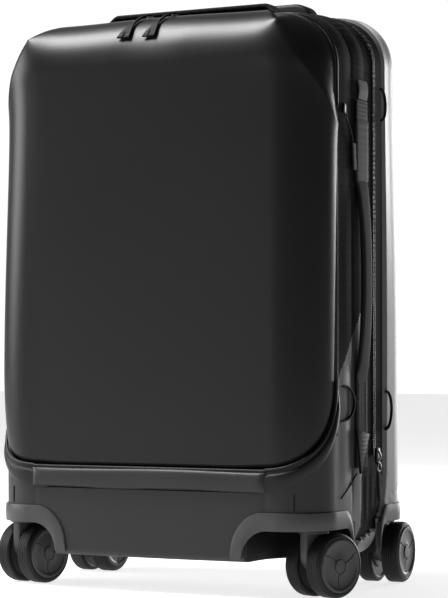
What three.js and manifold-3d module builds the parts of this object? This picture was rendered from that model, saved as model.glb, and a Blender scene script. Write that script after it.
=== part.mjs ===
// A soft-sided carry-on roller case on four twin-wheel casters, in millimetres.
// +X is the case's right side, -Y its front (the padded pocket), +Y its back (the trolley handle) and +Z up.
// The case opens like a book: the front half swings about the left edge, away from the rear half.

import * as THREE from 'three';
import { mergeVertices } from 'three/addons/utils/BufferGeometryUtils.js';
import Module from 'manifold-3d';

const wasm = await Module();
wasm.setup();

// ---------- Driving dimensions ----------

// Where the case's own middle stands in the row's frame: the wheels and the right side's fittings
// reach further out on the right and at the back, and the row's origin is in the middle of it all.
const CASE_AT = new THREE.Vector3(-4.55, -2.7, 0);

const GAP = 0.3; // between pieces that touch
const CURVE_STEPS = 6; // segments in a quarter turn of the case's own edges
const SHAPE_STEPS = 2; // half the segments in a quarter turn of a drawn shape
const FAR = 400; // past the whole case, for cutters

const CASE = {
  halfWidth: 167.5,
  baseZ: 31,
  topZ: 530, // at mid depth
  topRise: 0.105, // the top climbs this much per millimetre towards the back
  frontY: -109, // the flat lower front, between the corner guards
  bulgeY: -113, // the crown of the padded pocket
  rearY: 109,
  wall: 3,
  topCorner: 50, // radius of the outline's upper corners, seen from the front
  baseCorner: 24,
};
// The line along which the two halves part, seen from the side, as Y and Z from the base upwards: the rear
// half's base reaches forward between the casters, and the halves meet at the zipper above it.
const SPLIT = [[-20, -FAR], [-20, 48], [8, 52], [21, 68], [24, 84], [24, 2 * FAR]];
const SPLIT_Y = 24;
// Above here each half is open to the other. It lies under the pocket's floor, so both bases can be reached.
const FLOOR_TOP = 60;
const FRONT_EDGE = { side: 42, top: 40, base: 8 }; // radii where the sides turn into the front
const REAR_EDGE = { side: 40, top: 20, base: 15 };

const POCKET = {
  backY: -62, // the pocket's zip line on the sides and the top
  skin: 4,
  hingeZ: 432, // the upper part folds forward about this height
  sleeve: { halfWidth: 140, y: -66, thick: 1.5, low: 122, high: 400 },
};
// The pocket's lower corners, as quarter ellipses on the unrolled front and side, centred centreT along
// from the start of the vertical edge's bend, and centreZ up.
const PANEL_CORNER = { centreT: -5, centreZ: 193, alongT: 71, alongZ: 78 };
const RIM_CORNER = { centreT: -20, centreZ: 193, alongT: 97, alongZ: 100 };
const RIM_PROUD = 2;

const TAPE = { width: 5.5, thick: 2.5, recess: 0.5, low: 118 };

const CASTER = {
  pivotX: 150,
  pivotY: 75.7,
  wheelRadius: 28.6,
  wheelInnerY: 5.2, // from the fork's mid plane
  wheelOuterY: 22.3,
  axleRadius: 3,
  axleHalfLength: 19,
  stemRadius: 7,
  stemTopZ: 88,
  spigotRadius: 3,
  spigotBottomZ: 46,
  forkHalfThick: 4.4,
  crownRadius: 14,
  crownTopZ: 59.9,
  crownThick: 2.4,
};
// Each caster's heading in degrees, the way its wheels trail, and its trail.
const HEADINGS = {
  front_right: { heading: 70.5, trail: 12.7 },
  rear_right: { heading: 92.8, trail: 13.8 },
  front_left: { heading: 77.3, trail: 10.7 },
  rear_left: { heading: 268, trail: 12 },
};

const WELL = {
  radius: 49,
  wall: 2.5,
  ceilingZ: 60.5,
  ceilingThick: 4,
  rimZ: 33,
  bossRadius: 13,
  bossTopZ: 92,
};

const GUARD = {
  thick: 2.2,
  stand: 0.4, // clear of the shell behind it
  footZ: 34,
  footTopZ: 37,
  archZ: 60,
  topZ: 76,
  frontLeg: -40.5, // where it starts, along the flat face from the vertical edge's bend
  frontLegWidth: 11,
  sideLegWidth: 2, // thin, because the wheels swing past it
  frontRise: 32,
  frontArchRise: 24,
  sideReach: 39, // how far it runs along the side from the end of the bend
  sideRise: 19,
  sideArchRise: 14,
};

const TROLLEY = {
  tubeX: 64,
  tubeY: 88,
  outer: { width: 22, depth: 15, wall: 1.2, low: 46.3, high: 539.5 },
  middle: { width: 19, depth: 12, wall: 1.1, low: 50, high: 540 },
  inner: { width: 16.2, depth: 9.2, wall: 1, low: 54, high: 551 },
  bezel: { halfWidth: 92, low: 530, high: 540.5, front: 73, back: 101 },
  grip: { halfWidth: 76, low: 541, high: 557.6, halfDepth: 13, socketTop: 551.4 },
  button: { halfWidth: 18, halfDepth: 6, low: 550, high: 559, pocketLow: 546 },
  foot: { halfWidth: 82, low: 37, high: 46, front: 78, back: 98 },
};
const LINING_BOARD = { halfWidth: 158, y: 76, thick: 1.5, low: 96, high: 515 };

const SIDE_HANDLE = { midY: -13, halfWidth: 13, lowZ: 113, gripLowZ: 198, gripHighZ: 372, highZ: 427 };
const SIDE_HANDLE_STRAP = { inner: 168, outer: 170.6 };
const SIDE_HANDLE_GRIP = { inner: 172.2, outer: 177.4, slope: 22 };
const TOP_HANDLE = {
  halfX: 93,
  midY: -17,
  halfWidth: 12,
  footZ: 530,
  underZ: 536.6,
  topZ: 541.4,
  foot: 22,
  slope: 16,
};
const GRAB_STRIP = { halfWidth: 120, low: 94, high: 112, front: -114, thick: 2.6 };

const MAIN_SLIDER = { y: SPLIT_Y, z: 122, width: 8, height: 15, thick: 5 };
const MAIN_PULL = { width: 6, length: 35, thick: 2.4 };
const POCKET_SLIDER = { length: 13, width: 8, height: 5.6, backY: -62.4 };
const POCKET_SLIDER_X = { left: -18, right: 8 };
const POCKET_PULL = { width: 7, thick: 2.4, reach: 33, clear: 1 };
const GEAR_LOOPS = {
  rear_gear_loop_upper: { y: 36, halfWidth: 3.5, low: 434, high: 463 },
  rear_gear_loop_lower: { y: 47, halfWidth: 4, low: 145, high: 182 },
  front_gear_loop: { y: -50, halfWidth: 4, low: 157, high: 187 },
};
const LOOP = { thick: 2, bow: 5, foot: 6 };
const SPINE = { inner: 168, outer: 170.6, width: 14, low: 90, high: 470 };

// ---------- Materials ----------

const finish = (color, roughness, metalness = 0) =>
  new THREE.MeshStandardMaterial({ color, roughness, metalness });
const MATERIALS = {
  shell: finish('#2b2c2f', 0.6),
  panel: finish('#242528', 0.5),
  trim: finish('#1a1b1d', 0.75),
  webbing: finish('#17181a', 0.85),
  lining: finish('#3a3c40', 0.9),
  guard: finish('#4a4b4d', 0.45),
  housing: finish('#1f2022', 0.6),
  caster: finish('#2c2d2f', 0.5),
  steel: finish('#9a9c9f', 0.35, 1),
  tube: finish('#3c3d40', 0.4, 0.8),
  wheel: finish('#2a2b2d', 0.55),
  zip: finish('#202124', 0.4, 0.6),
};

// ---------- Solids ----------

/** A closed solid from a closed geometry, whichever way its faces point. */
function solid(geometry) {
  const bare = geometry.index ? geometry.toNonIndexed() : geometry.clone();
  bare.deleteAttribute('normal');
  bare.deleteAttribute('uv');
  const merged = mergeVertices(bare, 1e-4);
  const points = merged.attributes.position.array;
  const corner = (i) => new THREE.Vector3().fromArray(points, 3 * i);
  const faces = [];
  let volume = 0;
  for (let i = 0; i < merged.index.count; i += 3) {
    const [a, b, c] = [0, 1, 2].map((k) => merged.index.getX(i + k));
    if (a === b || b === c || c === a) continue;
    faces.push([a, b, c]);
    volume += corner(a).dot(corner(b).cross(corner(c)));
  }
  const triVerts = new Uint32Array(faces.flatMap(([a, b, c]) => (volume < 0 ? [a, c, b] : [a, b, c])));
  return new wasm.Manifold(new wasm.Mesh({ numProp: 3, vertProperties: points, triVerts }));
}

/** The triangles of a solid. */
function geometryOf(made) {
  const { vertProperties, triVerts } = made.getMesh();
  const geometry = new THREE.BufferGeometry();
  geometry.setAttribute('position', new THREE.BufferAttribute(new Float32Array(vertProperties), 3));
  geometry.setIndex(new THREE.BufferAttribute(new Uint32Array(triVerts), 1));
  geometry.computeVertexNormals();
  return geometry;
}

/** A solid through rings of points; the first and the last ring are convex and closed by a fan. */
function loft(rings) {
  const count = rings[0].length;
  const index = [];
  for (let r = 0; r + 1 < rings.length; r++) {
    for (let i = 0; i < count; i++) {
      const here = r * count + i;
      const next = r * count + ((i + 1) % count);
      index.push(here, next, next + count, here, next + count, here + count);
    }
  }
  const last = (rings.length - 1) * count;
  for (let i = 1; i + 1 < count; i++) {
    index.push(0, i + 1, i);
    index.push(last, last + i, last + i + 1);
  }
  const geometry = new THREE.BufferGeometry().setFromPoints(rings.flat());
  geometry.setIndex(index);
  return solid(geometry);
}

function block(lowX, highX, lowY, highY, lowZ, highZ) {
  const box = new THREE.BoxGeometry(highX - lowX, highY - lowY, highZ - lowZ);
  return solid(box.translate((lowX + highX) / 2, (lowY + highY) / 2, (lowZ + highZ) / 2));
}

function cylinderZ(radius, lowZ, highZ, x = 0, y = 0, segments = 24) {
  const geometry = new THREE.CylinderGeometry(radius, radius, highZ - lowZ, segments).rotateX(Math.PI / 2);
  return solid(geometry.translate(x, y, (lowZ + highZ) / 2));
}

const flat = (depth) => ({ depth, bevelEnabled: false, curveSegments: SHAPE_STEPS });

/** A shape drawn in X and Y, between two heights. */
function extrudeZ(shape, lowZ, highZ) {
  return solid(new THREE.ExtrudeGeometry(shape, flat(highZ - lowZ)).translate(0, 0, lowZ));
}

/** A shape drawn in X and Z, between two depths. */
function extrudeY(shape, lowY, highY) {
  const geometry = new THREE.ExtrudeGeometry(shape, flat(highY - lowY)).rotateX(Math.PI / 2);
  return solid(geometry.translate(0, highY, 0));
}

/** A shape drawn in Y and Z, between two places along X. */
function extrudeX(shape, lowX, highX) {
  const upright = new THREE.ExtrudeGeometry(shape, flat(highX - lowX)).rotateX(Math.PI / 2);
  const geometry = upright.rotateZ(Math.PI / 2);
  return solid(geometry.translate(lowX, 0, 0));
}

const shapeOf = (points) => new THREE.Shape(points.map(([x, y]) => new THREE.Vector2(x, y)));

/** A rectangle with round corners, about a centre. */
function roundedRectangle(halfWidth, halfHeight, radius, x = 0, y = 0) {
  const [inX, inY] = [halfWidth - radius, halfHeight - radius];
  const shape = new THREE.Shape();
  shape.absarc(x + inX, y + inY, radius, 0, Math.PI / 2);
  shape.absarc(x - inX, y + inY, radius, Math.PI / 2, Math.PI);
  shape.absarc(x - inX, y - inY, radius, Math.PI, (3 * Math.PI) / 2);
  shape.absarc(x + inX, y - inY, radius, (3 * Math.PI) / 2, 2 * Math.PI);
  return shape;
}

// ---------- The case's form ----------

const topAt = (y) => CASE.topZ + CASE.topRise * y;

/** How far a round edge has turned in, at a depth from its face. */
const turnIn = (depth, radius) =>
  depth >= radius ? 0 : radius - Math.sqrt(radius ** 2 - (radius - depth) ** 2);

/** The case's outline at one depth, as a ring of points in X and Z. */
function outlineRing(y, halfWidth, bottom, top, topRadius, baseRadius) {
  const corners = [
    { x: halfWidth - baseRadius, z: bottom + baseRadius, radius: baseRadius, from: -90 },
    { x: halfWidth - topRadius, z: top - topRadius, radius: topRadius, from: 0 },
    { x: topRadius - halfWidth, z: top - topRadius, radius: topRadius, from: 90 },
    { x: baseRadius - halfWidth, z: bottom + baseRadius, radius: baseRadius, from: 180 },
  ];
  return corners.flatMap(({ x, z, radius, from }) =>
    Array.from({ length: CURVE_STEPS + 1 }, (_, k) => {
      const angle = THREE.MathUtils.degToRad(from + (90 * k) / CURVE_STEPS);
      return new THREE.Vector3(x + radius * Math.cos(angle), y, z + radius * Math.sin(angle));
    }),
  );
}

/** A half of the case, closed at endY with rounded edges and flat at openY, shrunk by inset on every side. */
function halfForm(endY, openY, edge, inset = 0) {
  const towards = Math.sign(openY - endY);
  const [side, top, base] = [edge.side - inset, edge.top - inset, Math.max(edge.base - inset, 1)];
  const depths = Array.from({ length: CURVE_STEPS + 1 }, (_, k) => {
    const turn = (Math.PI / 2) * (k / CURVE_STEPS);
    return side * (1 - Math.cos(turn));
  });
  depths.push(Math.abs(openY - endY) - inset);
  return loft(
    depths.map((depth) => {
      const y = endY + towards * (inset + depth);
      const turnedTop = turnIn(depth, top);
      return outlineRing(
        y,
        CASE.halfWidth - inset - turnIn(depth, side),
        CASE.baseZ + inset + turnIn(depth, base),
        topAt(y) - inset - turnedTop,
        CASE.topCorner - inset - 0.8 * turnedTop,
        CASE.baseCorner - inset,
      );
    }),
  );
}

/** X on the front's plan outline, t along it from the start of the vertical edge's bend. */
function frontX(t) {
  const radius = FRONT_EDGE.side;
  const flatEnd = CASE.halfWidth - radius;
  return t < 0 ? flatEnd + t : flatEnd + radius * Math.sin(Math.min(t / radius, Math.PI / 2));
}

/** Everything above a lower edge with rounded corners, drawn in X and Z; grow moves the edge outwards. */
function aboveCorner(corner, grow = 0) {
  const steps = 3 * CURVE_STEPS;
  const right = Array.from({ length: steps + 1 }, (_, k) => {
    const angle = (Math.PI / 2) * (k / steps);
    const t = corner.centreT + (corner.alongT + grow) * Math.sin(angle);
    return [frontX(t) + (k === steps ? FAR : 0), corner.centreZ - (corner.alongZ + grow) * Math.cos(angle)];
  });
  const left = right.map(([x, z]) => [-x, z]).reverse();
  const reach = right[steps][0];
  return shapeOf([...right, [reach, 2 * FAR], [-reach, 2 * FAR], ...left]);
}

/** A point on the plan outline of one corner, in its own quadrant, t along it and out from it. */
function planPoint(t, out, edgeRadius) {
  const centre = [CASE.halfWidth - edgeRadius, CASE.rearY - edgeRadius];
  const quarter = (edgeRadius * Math.PI) / 2;
  if (t < 0) return [centre[0] + t, CASE.rearY + out];
  if (t > quarter) return [CASE.halfWidth + out, centre[1] - (t - quarter)];
  const angle = t / edgeRadius;
  return [centre[0] + (edgeRadius + out) * Math.sin(angle), centre[1] + (edgeRadius + out) * Math.cos(angle)];
}

/** The four corners, each with the signs that place a shape drawn in the quadrant of +X and +Y. */
const CORNERS = ['front', 'rear'].flatMap((end) =>
  ['left', 'right'].map((side) => ({
    end,
    side,
    signX: side === 'left' ? -1 : 1,
    signY: end === 'front' ? -1 : 1,
    edgeRadius: end === 'front' ? FRONT_EDGE.side : REAR_EDGE.side,
  })),
);

const inCorner = (made, { signX, signY }) => {
  const { vertProperties, triVerts } = made.getMesh();
  const points = vertProperties.map((value, i) => value * (i % 3 === 0 ? signX : i % 3 === 1 ? signY : 1));
  const flipped = signX * signY < 0;
  const faces = triVerts.map((_, i) => triVerts[flipped ? i - (i % 3) + (2 - (i % 3)) : i]);
  return new wasm.Manifold(new wasm.Mesh({ numProp: 3, vertProperties: points, triVerts: faces }));
};

/** The corner that a caster swings in, seen from above: round inwards, straight outwards. */
function wellPlan(radius) {
  const { pivotX: x, pivotY: y } = CASTER;
  const shape = new THREE.Shape();
  shape.moveTo(x - radius, y + FAR);
  shape.lineTo(x - radius, y);
  shape.absarc(x, y, radius, Math.PI, (3 * Math.PI) / 2);
  shape.lineTo(x + FAR, y - radius);
  shape.lineTo(x + FAR, y + FAR);
  return shape;
}

function cornerPockets(end) {
  const radius = WELL.radius + WELL.wall + GAP;
  const well = extrudeZ(wellPlan(radius), -FAR, WELL.ceilingZ + WELL.ceilingThick + GAP).add(
    cylinderZ(WELL.bossRadius + GAP, 0, WELL.bossTopZ + GAP, CASTER.pivotX, CASTER.pivotY),
  );
  return CORNERS.filter((corner) => corner.end === end).map((corner) => inCorner(well, corner));
}

const cutAll = (made, cutters) => cutters.reduce((rest, cutter) => rest.subtract(cutter), made);

// ---------- Shells ----------

/** Everything behind and below the line where the halves part, grown towards the front half. */
function rearSide(grow) {
  const line = SPLIT.map(([y, z]) => [y - grow, z + grow]);
  return extrudeX(shapeOf([...line, [FAR, 2 * FAR], [FAR, -FAR]]), -FAR, FAR);
}

const aboveZ = (z) => block(-FAR, FAR, -FAR, FAR, z, 2 * FAR);

function rearShell() {
  const { bezel } = TROLLEY;
  const pastSplit = SPLIT[0][0] - 10;
  const outside = halfForm(CASE.rearY, pastSplit, REAR_EDGE).intersect(rearSide(-GAP));
  const within = rearSide(-GAP - CASE.wall).add(aboveZ(FLOOR_TOP));
  const hollow = halfForm(CASE.rearY, pastSplit, REAR_EDGE, CASE.wall).intersect(within);
  const tapeSlot = block(-FAR, FAR, -FAR, SPLIT_Y + TAPE.width + 2 * GAP, TAPE.low - GAP, 2 * FAR);
  const bezelHole = block(
    -bezel.halfWidth - GAP, bezel.halfWidth + GAP,
    bezel.front - GAP, bezel.back + GAP,
    bezel.low - GAP, 2 * FAR,
  );
  return cutAll(outside, [hollow, tapeSlot, bezelHole, ...cornerPockets('rear')]);
}

function frontShell() {
  const pastSplit = SPLIT_Y + 10;
  const pocketBack = POCKET.backY + GAP;
  const outside = halfForm(CASE.frontY, pastSplit, FRONT_EDGE).subtract(rearSide(GAP));
  const pocketSpace = extrudeY(aboveCorner(RIM_CORNER, GAP), -FAR, pocketBack);
  // The main compartment lies behind the pocket's board and reaches forward underneath the pocket.
  const pocketWall = extrudeY(aboveCorner(RIM_CORNER, CASE.wall + GAP), -FAR, pocketBack + CASE.wall);
  const floor = rearSide(GAP + CASE.wall).subtract(aboveZ(FLOOR_TOP));
  const hollow = cutAll(halfForm(CASE.frontY, pastSplit, FRONT_EDGE, CASE.wall), [pocketWall, floor]);
  const tapeSlot = block(-FAR, FAR, SPLIT_Y - TAPE.width - 2 * GAP, FAR, TAPE.low - GAP, 2 * FAR);
  return cutAll(outside, [pocketSpace, hollow, tapeSlot, ...cornerPockets('front')]);
}

/** One half of the main zipper: a band round the case beside the line where the halves part. */
function zipperTape(lowY, highY) {
  const ring = (y, inset) =>
    outlineRing(
      y, CASE.halfWidth - inset, CASE.baseZ + inset, topAt(y) - inset,
      CASE.topCorner - inset, CASE.baseCorner - inset,
    );
  const outside = loft([ring(lowY, TAPE.recess), ring(highY, TAPE.recess)]);
  const inset = TAPE.recess + TAPE.thick;
  return outside.subtract(loft([ring(lowY - 1, inset), ring(highY + 1, inset)])).intersect(aboveZ(TAPE.low));
}

// ---------- Corner guards and wheel housings ----------

/** A quarter ellipse that climbs from low at start to high, over a run. */
function climb(t, start, run, low, high) {
  if (t <= start) return low;
  if (t >= start + run) return high;
  return low + (high - low) * Math.sqrt(1 - ((start + run - t) / run) ** 2);
}

function cornerGuard(corner) {
  const start = GUARD.frontLeg;
  const end = (corner.edgeRadius * Math.PI) / 2 + GUARD.sideReach;
  const top = (t) =>
    Math.min(
      climb(t, start, GUARD.frontRise, GUARD.footTopZ, GUARD.topZ),
      climb(-t, -end, GUARD.sideRise, GUARD.footTopZ, GUARD.topZ),
    );
  const arch = (t) =>
    Math.min(
      climb(t, start + GUARD.frontLegWidth, GUARD.frontArchRise, GUARD.footZ, GUARD.archZ),
      climb(-t, GUARD.sideLegWidth - end, GUARD.sideArchRise, GUARD.footZ, GUARD.archZ),
    );
  const steps = 30;
  const rings = Array.from({ length: steps + 1 }, (_, k) => {
    const t = start + ((end - start) * k) / steps;
    const [inner, outer] = [GUARD.stand, GUARD.stand + GUARD.thick].map((out) =>
      planPoint(t, out, corner.edgeRadius),
    );
    return [
      new THREE.Vector3(...inner, arch(t)),
      new THREE.Vector3(...outer, arch(t)),
      new THREE.Vector3(...outer, top(t)),
      new THREE.Vector3(...inner, top(t)),
    ];
  });
  return inCorner(loft(rings), corner);
}

function wheelHousing(corner) {
  const { pivotX, pivotY } = CASTER;
  const topZ = WELL.ceilingZ + WELL.ceilingThick;
  const plan = roundedRectangle(CASE.halfWidth - GAP, CASE.rearY - GAP, corner.edgeRadius - GAP);
  const walls = extrudeZ(wellPlan(WELL.radius + WELL.wall), WELL.rimZ, topZ);
  const space = extrudeZ(wellPlan(WELL.radius), -FAR, WELL.ceilingZ);
  const boss = cylinderZ(WELL.bossRadius, WELL.ceilingZ, WELL.bossTopZ, pivotX, pivotY);
  const bore = cylinderZ(CASTER.stemRadius + GAP, 0, CASTER.stemTopZ + GAP, pivotX, pivotY);
  const made = walls.subtract(space).intersect(extrudeZ(plan, 0, FAR)).add(boss).subtract(bore);
  return inCorner(made, corner);
}

// ---------- Front pocket ----------

function pocketSkin() {
  const outside = halfForm(CASE.bulgeY, POCKET.backY, FRONT_EDGE);
  const hollow = halfForm(CASE.bulgeY, POCKET.backY + 1, FRONT_EDGE, POCKET.skin);
  return outside.subtract(hollow).intersect(extrudeY(aboveCorner(PANEL_CORNER), -FAR, FAR));
}

function pocketRim() {
  const face = CASE.frontY - RIM_PROUD;
  const band = halfForm(face, POCKET.backY, FRONT_EDGE).subtract(
    halfForm(face, POCKET.backY + 1, FRONT_EDGE, POCKET.skin),
  );
  return band
    .intersect(extrudeY(aboveCorner(RIM_CORNER), -FAR, FAR))
    .subtract(extrudeY(aboveCorner(PANEL_CORNER, GAP), -FAR, FAR));
}

function pocketSleeve() {
  const { halfWidth, y, thick, low, high } = POCKET.sleeve;
  const shape = roundedRectangle(halfWidth, (high - low) / 2, 20, 0, (high + low) / 2);
  return extrudeY(shape, y - thick / 2, y + thick / 2);
}

/** A pull that lies along the top of the pocket and droops over its crown. */
function pocketPull(x) {
  const startY = POCKET_SLIDER.backY - POCKET_SLIDER.width - GAP;
  const steps = 6;
  const rest = Array.from({ length: steps + 1 }, (_, k) => {
    const y = startY - (POCKET_PULL.reach * k) / steps;
    return [y, topAt(y) - turnIn(y - CASE.bulgeY, FRONT_EDGE.top) + POCKET_PULL.clear];
  });
  const above = rest.map(([y, z]) => [y, z + POCKET_PULL.thick]).reverse();
  return extrudeX(shapeOf([...rest, ...above]), x - POCKET_PULL.width / 2, x + POCKET_PULL.width / 2);
}

function pocketSlider(x) {
  const { length, width, height, backY } = POCKET_SLIDER;
  const low = topAt(backY) + GAP;
  const shape = roundedRectangle(length / 2, width / 2, 2, x, backY - width / 2);
  return extrudeZ(shape, low, low + height);
}

// ---------- Handles, strips and loops ----------

/** A strap drawn in X and Z: flat ends on the side of the case and a grip that bows out from it. */
function sideHandle() {
  const { lowZ, gripLowZ, gripHighZ, highZ, midY, halfWidth } = SIDE_HANDLE;
  const { slope } = SIDE_HANDLE_GRIP;
  const edge = (strapX, gripX) => [
    [strapX, lowZ],
    [strapX, gripLowZ],
    [gripX, gripLowZ + slope],
    [gripX, gripHighZ - slope],
    [strapX, gripHighZ],
    [strapX, highZ],
  ];
  const outside = edge(SIDE_HANDLE_STRAP.outer, SIDE_HANDLE_GRIP.outer);
  const inside = edge(SIDE_HANDLE_STRAP.inner, SIDE_HANDLE_GRIP.inner).reverse();
  return extrudeY(shapeOf([...inside, ...outside]), midY - halfWidth, midY + halfWidth);
}

function topHandle() {
  const { halfX, midY, halfWidth, footZ, underZ, topZ, foot, slope } = TOP_HANDLE;
  const thick = topZ - underZ;
  const under = [[-halfX, footZ], [foot - halfX, footZ], [foot + slope - halfX, underZ]];
  const over = [[-halfX, footZ + thick], [foot - halfX - 2, footZ + thick], [foot + slope - halfX - 2, topZ]];
  const mirrored = (points) => points.map(([x, z]) => [-x, z]).reverse();
  const outline = [...under, ...mirrored(under), ...over.map(([x, z]) => [-x, z]), ...[...over].reverse()];
  return extrudeY(shapeOf(outline), midY - halfWidth, midY + halfWidth);
}

function grabStrip() {
  const { halfWidth, low, high, front, thick } = GRAB_STRIP;
  const shape = roundedRectangle(halfWidth, (high - low) / 2, 5, 0, (high + low) / 2);
  return extrudeY(shape, front, front + thick);
}

/** A webbing loop sewn to the right side at its ends and bowed out between them. */
function gearLoop({ y, halfWidth, low, high }) {
  const wallX = CASE.halfWidth + GAP;
  const edge = (out) => [
    [wallX + out, low],
    [wallX + out, low + LOOP.foot],
    [wallX + LOOP.bow + out, (low + high) / 2],
    [wallX + out, high - LOOP.foot],
    [wallX + out, high],
  ];
  const outline = [...edge(0).reverse(), ...edge(LOOP.thick)];
  return extrudeY(shapeOf(outline), y - halfWidth, y + halfWidth);
}

function spineHinge() {
  const lowY = SPLIT_Y + GAP;
  return block(-SPINE.outer, -SPINE.inner, lowY, lowY + SPINE.width, SPINE.low, SPINE.high);
}

function mainSlider() {
  const { y, z, width, height, thick } = MAIN_SLIDER;
  const shape = roundedRectangle(width / 2, height / 2, 2, y, z);
  return extrudeX(shape, CASE.halfWidth + GAP, CASE.halfWidth + GAP + thick);
}

function mainPull() {
  const { width, length, thick } = MAIN_PULL;
  const topZ = MAIN_SLIDER.z - MAIN_SLIDER.height / 2 - GAP;
  const shape = roundedRectangle(width / 2, length / 2, 2, MAIN_SLIDER.y, topZ - length / 2);
  const lowX = CASE.halfWidth + GAP + 1;
  return extrudeX(shape, lowX, lowX + thick);
}

// ---------- Trolley handle ----------

const tubeShape = ({ width, depth }, grow = 0) =>
  roundedRectangle(width / 2 + grow, depth / 2 + grow, 2.5, 0, TROLLEY.tubeY);

const shiftX = (made, x) => made.translate([x, 0, 0]);

function trolleyTube(section, x) {
  const outside = extrudeZ(tubeShape(section), section.low, section.high);
  const hollow = extrudeZ(tubeShape(section, -section.wall), section.low - 1, section.high + 1);
  return shiftX(outside.subtract(hollow), x);
}

function trolleyBezel() {
  const { halfWidth, low, high, front, back } = TROLLEY.bezel;
  const shape = roundedRectangle(halfWidth, (back - front) / 2, 6, 0, (front + back) / 2);
  const hole = extrudeZ(tubeShape(TROLLEY.outer, GAP), low - 1, high + 1);
  return cutAll(extrudeZ(shape, low, high), [shiftX(hole, TROLLEY.tubeX), shiftX(hole, -TROLLEY.tubeX)]);
}

function trolleyGrip() {
  const { halfWidth, halfDepth, low, high, socketTop } = TROLLEY.grip;
  const { button, tubeX, tubeY, inner } = TROLLEY;
  const shape = roundedRectangle(halfWidth, halfDepth, 9, 0, tubeY);
  const socket = extrudeZ(tubeShape(inner, GAP), low - 1, socketTop);
  const well = roundedRectangle(button.halfWidth + GAP, button.halfDepth + GAP, 4, 0, tubeY);
  const buttonWell = extrudeZ(well, button.pocketLow, high + 1);
  return cutAll(extrudeZ(shape, low, high), [shiftX(socket, tubeX), shiftX(socket, -tubeX), buttonWell]);
}

function trolleyButton() {
  const { halfWidth, halfDepth, low, high } = TROLLEY.button;
  return extrudeZ(roundedRectangle(halfWidth, halfDepth, 4, 0, TROLLEY.tubeY), low, high);
}

function trolleyFoot() {
  const { halfWidth, low, high, front, back } = TROLLEY.foot;
  return extrudeZ(roundedRectangle(halfWidth, (back - front) / 2, 4, 0, (front + back) / 2), low, high);
}

function liningBoard() {
  const { halfWidth, y, thick, low, high } = LINING_BOARD;
  const shape = roundedRectangle(halfWidth, (high - low) / 2, 30, 0, (high + low) / 2);
  return extrudeY(shape, y - thick / 2, y + thick / 2);
}

// ---------- Casters, drawn about the swivel axis with the wheels trailing along +X ----------

function casterStem() {
  const { stemRadius, stemTopZ, spigotRadius, spigotBottomZ, crownTopZ } = CASTER;
  return cylinderZ(stemRadius, crownTopZ + GAP, stemTopZ).add(
    cylinderZ(spigotRadius, spigotBottomZ, crownTopZ + 1, 0, 0, 16),
  );
}

function casterFork(trail) {
  const { forkHalfThick, crownRadius, crownTopZ, crownThick, wheelRadius, axleRadius } = CASTER;
  const bossRadius = 8;
  const plateTop = crownTopZ - crownThick / 2;
  const arcAngle = (k) => Math.PI + (Math.PI * k) / (2 * CURVE_STEPS);
  const boss = Array.from({ length: 2 * CURVE_STEPS + 1 }, (_, k) => [
    trail + bossRadius * Math.cos(arcAngle(k)),
    wheelRadius + bossRadius * Math.sin(arcAngle(k)),
  ]);
  const plate = shapeOf([...boss, [crownRadius - 2, plateTop], [2 - crownRadius, plateTop]]);
  const crown = cylinderZ(crownRadius, crownTopZ - crownThick, crownTopZ);
  const axleHole = cylinderZ(axleRadius + GAP, -forkHalfThick - 1, forkHalfThick + 1, 0, 0, 16)
    .rotate([90, 0, 0])
    .translate([trail, 0, wheelRadius]);
  const spigotHole = cylinderZ(CASTER.spigotRadius + GAP, CASTER.spigotBottomZ - GAP, FAR, 0, 0, 16);
  return cutAll(extrudeY(plate, -forkHalfThick, forkHalfThick).add(crown), [axleHole, spigotHole]);
}

function casterAxle(trail) {
  const { axleRadius, axleHalfLength, wheelRadius } = CASTER;
  const bar = cylinderZ(axleRadius, -axleHalfLength, axleHalfLength, 0, 0, 16);
  return bar.rotate([90, 0, 0]).translate([trail, 0, wheelRadius]);
}

/** A wheel with a soft-edged tread and a bore that stops under its outer cover. */
function casterWheel(trail, side) {
  const { wheelRadius, wheelInnerY, wheelOuterY, axleRadius, axleHalfLength } = CASTER;
  const shoulder = 2;
  const bore = axleRadius + GAP;
  const boreEnd = axleHalfLength + GAP;
  const profile = [
    [0, wheelOuterY],
    [wheelRadius - shoulder, wheelOuterY],
    [wheelRadius, wheelOuterY - shoulder],
    [wheelRadius, wheelInnerY + shoulder],
    [wheelRadius - shoulder, wheelInnerY],
    [bore, wheelInnerY],
    [bore, boreEnd],
    [0, boreEnd],
  ].map(([r, along]) => new THREE.Vector2(r, along * side));
  const segments = 28;
  return solid(new THREE.LatheGeometry(profile, segments)).translate([trail, 0, wheelRadius]);
}

// ---------- Assembly ----------

const suitcase = new THREE.Group();
suitcase.position.copy(CASE_AT);

function place(name, made, material, parent = suitcase) {
  const mesh = new THREE.Mesh(geometryOf(made), material);
  mesh.name = name;
  parent.add(mesh);
}

place('rear_shell', rearShell(), MATERIALS.shell);
place('front_shell', frontShell(), MATERIALS.shell);
place('rear_lining_board', liningBoard(), MATERIALS.lining);
place('rear_zipper_tape', zipperTape(SPLIT_Y + GAP, SPLIT_Y + GAP + TAPE.width), MATERIALS.trim);
place('front_zipper_tape', zipperTape(SPLIT_Y - GAP - TAPE.width, SPLIT_Y - GAP), MATERIALS.trim);
place('spine_hinge', spineHinge(), MATERIALS.trim);

for (const corner of CORNERS) {
  place(`${corner.end}_corner_guard_${corner.side}`, cornerGuard(corner), MATERIALS.guard);
  place(`${corner.end}_wheel_housing_${corner.side}`, wheelHousing(corner), MATERIALS.housing);
}

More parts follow.
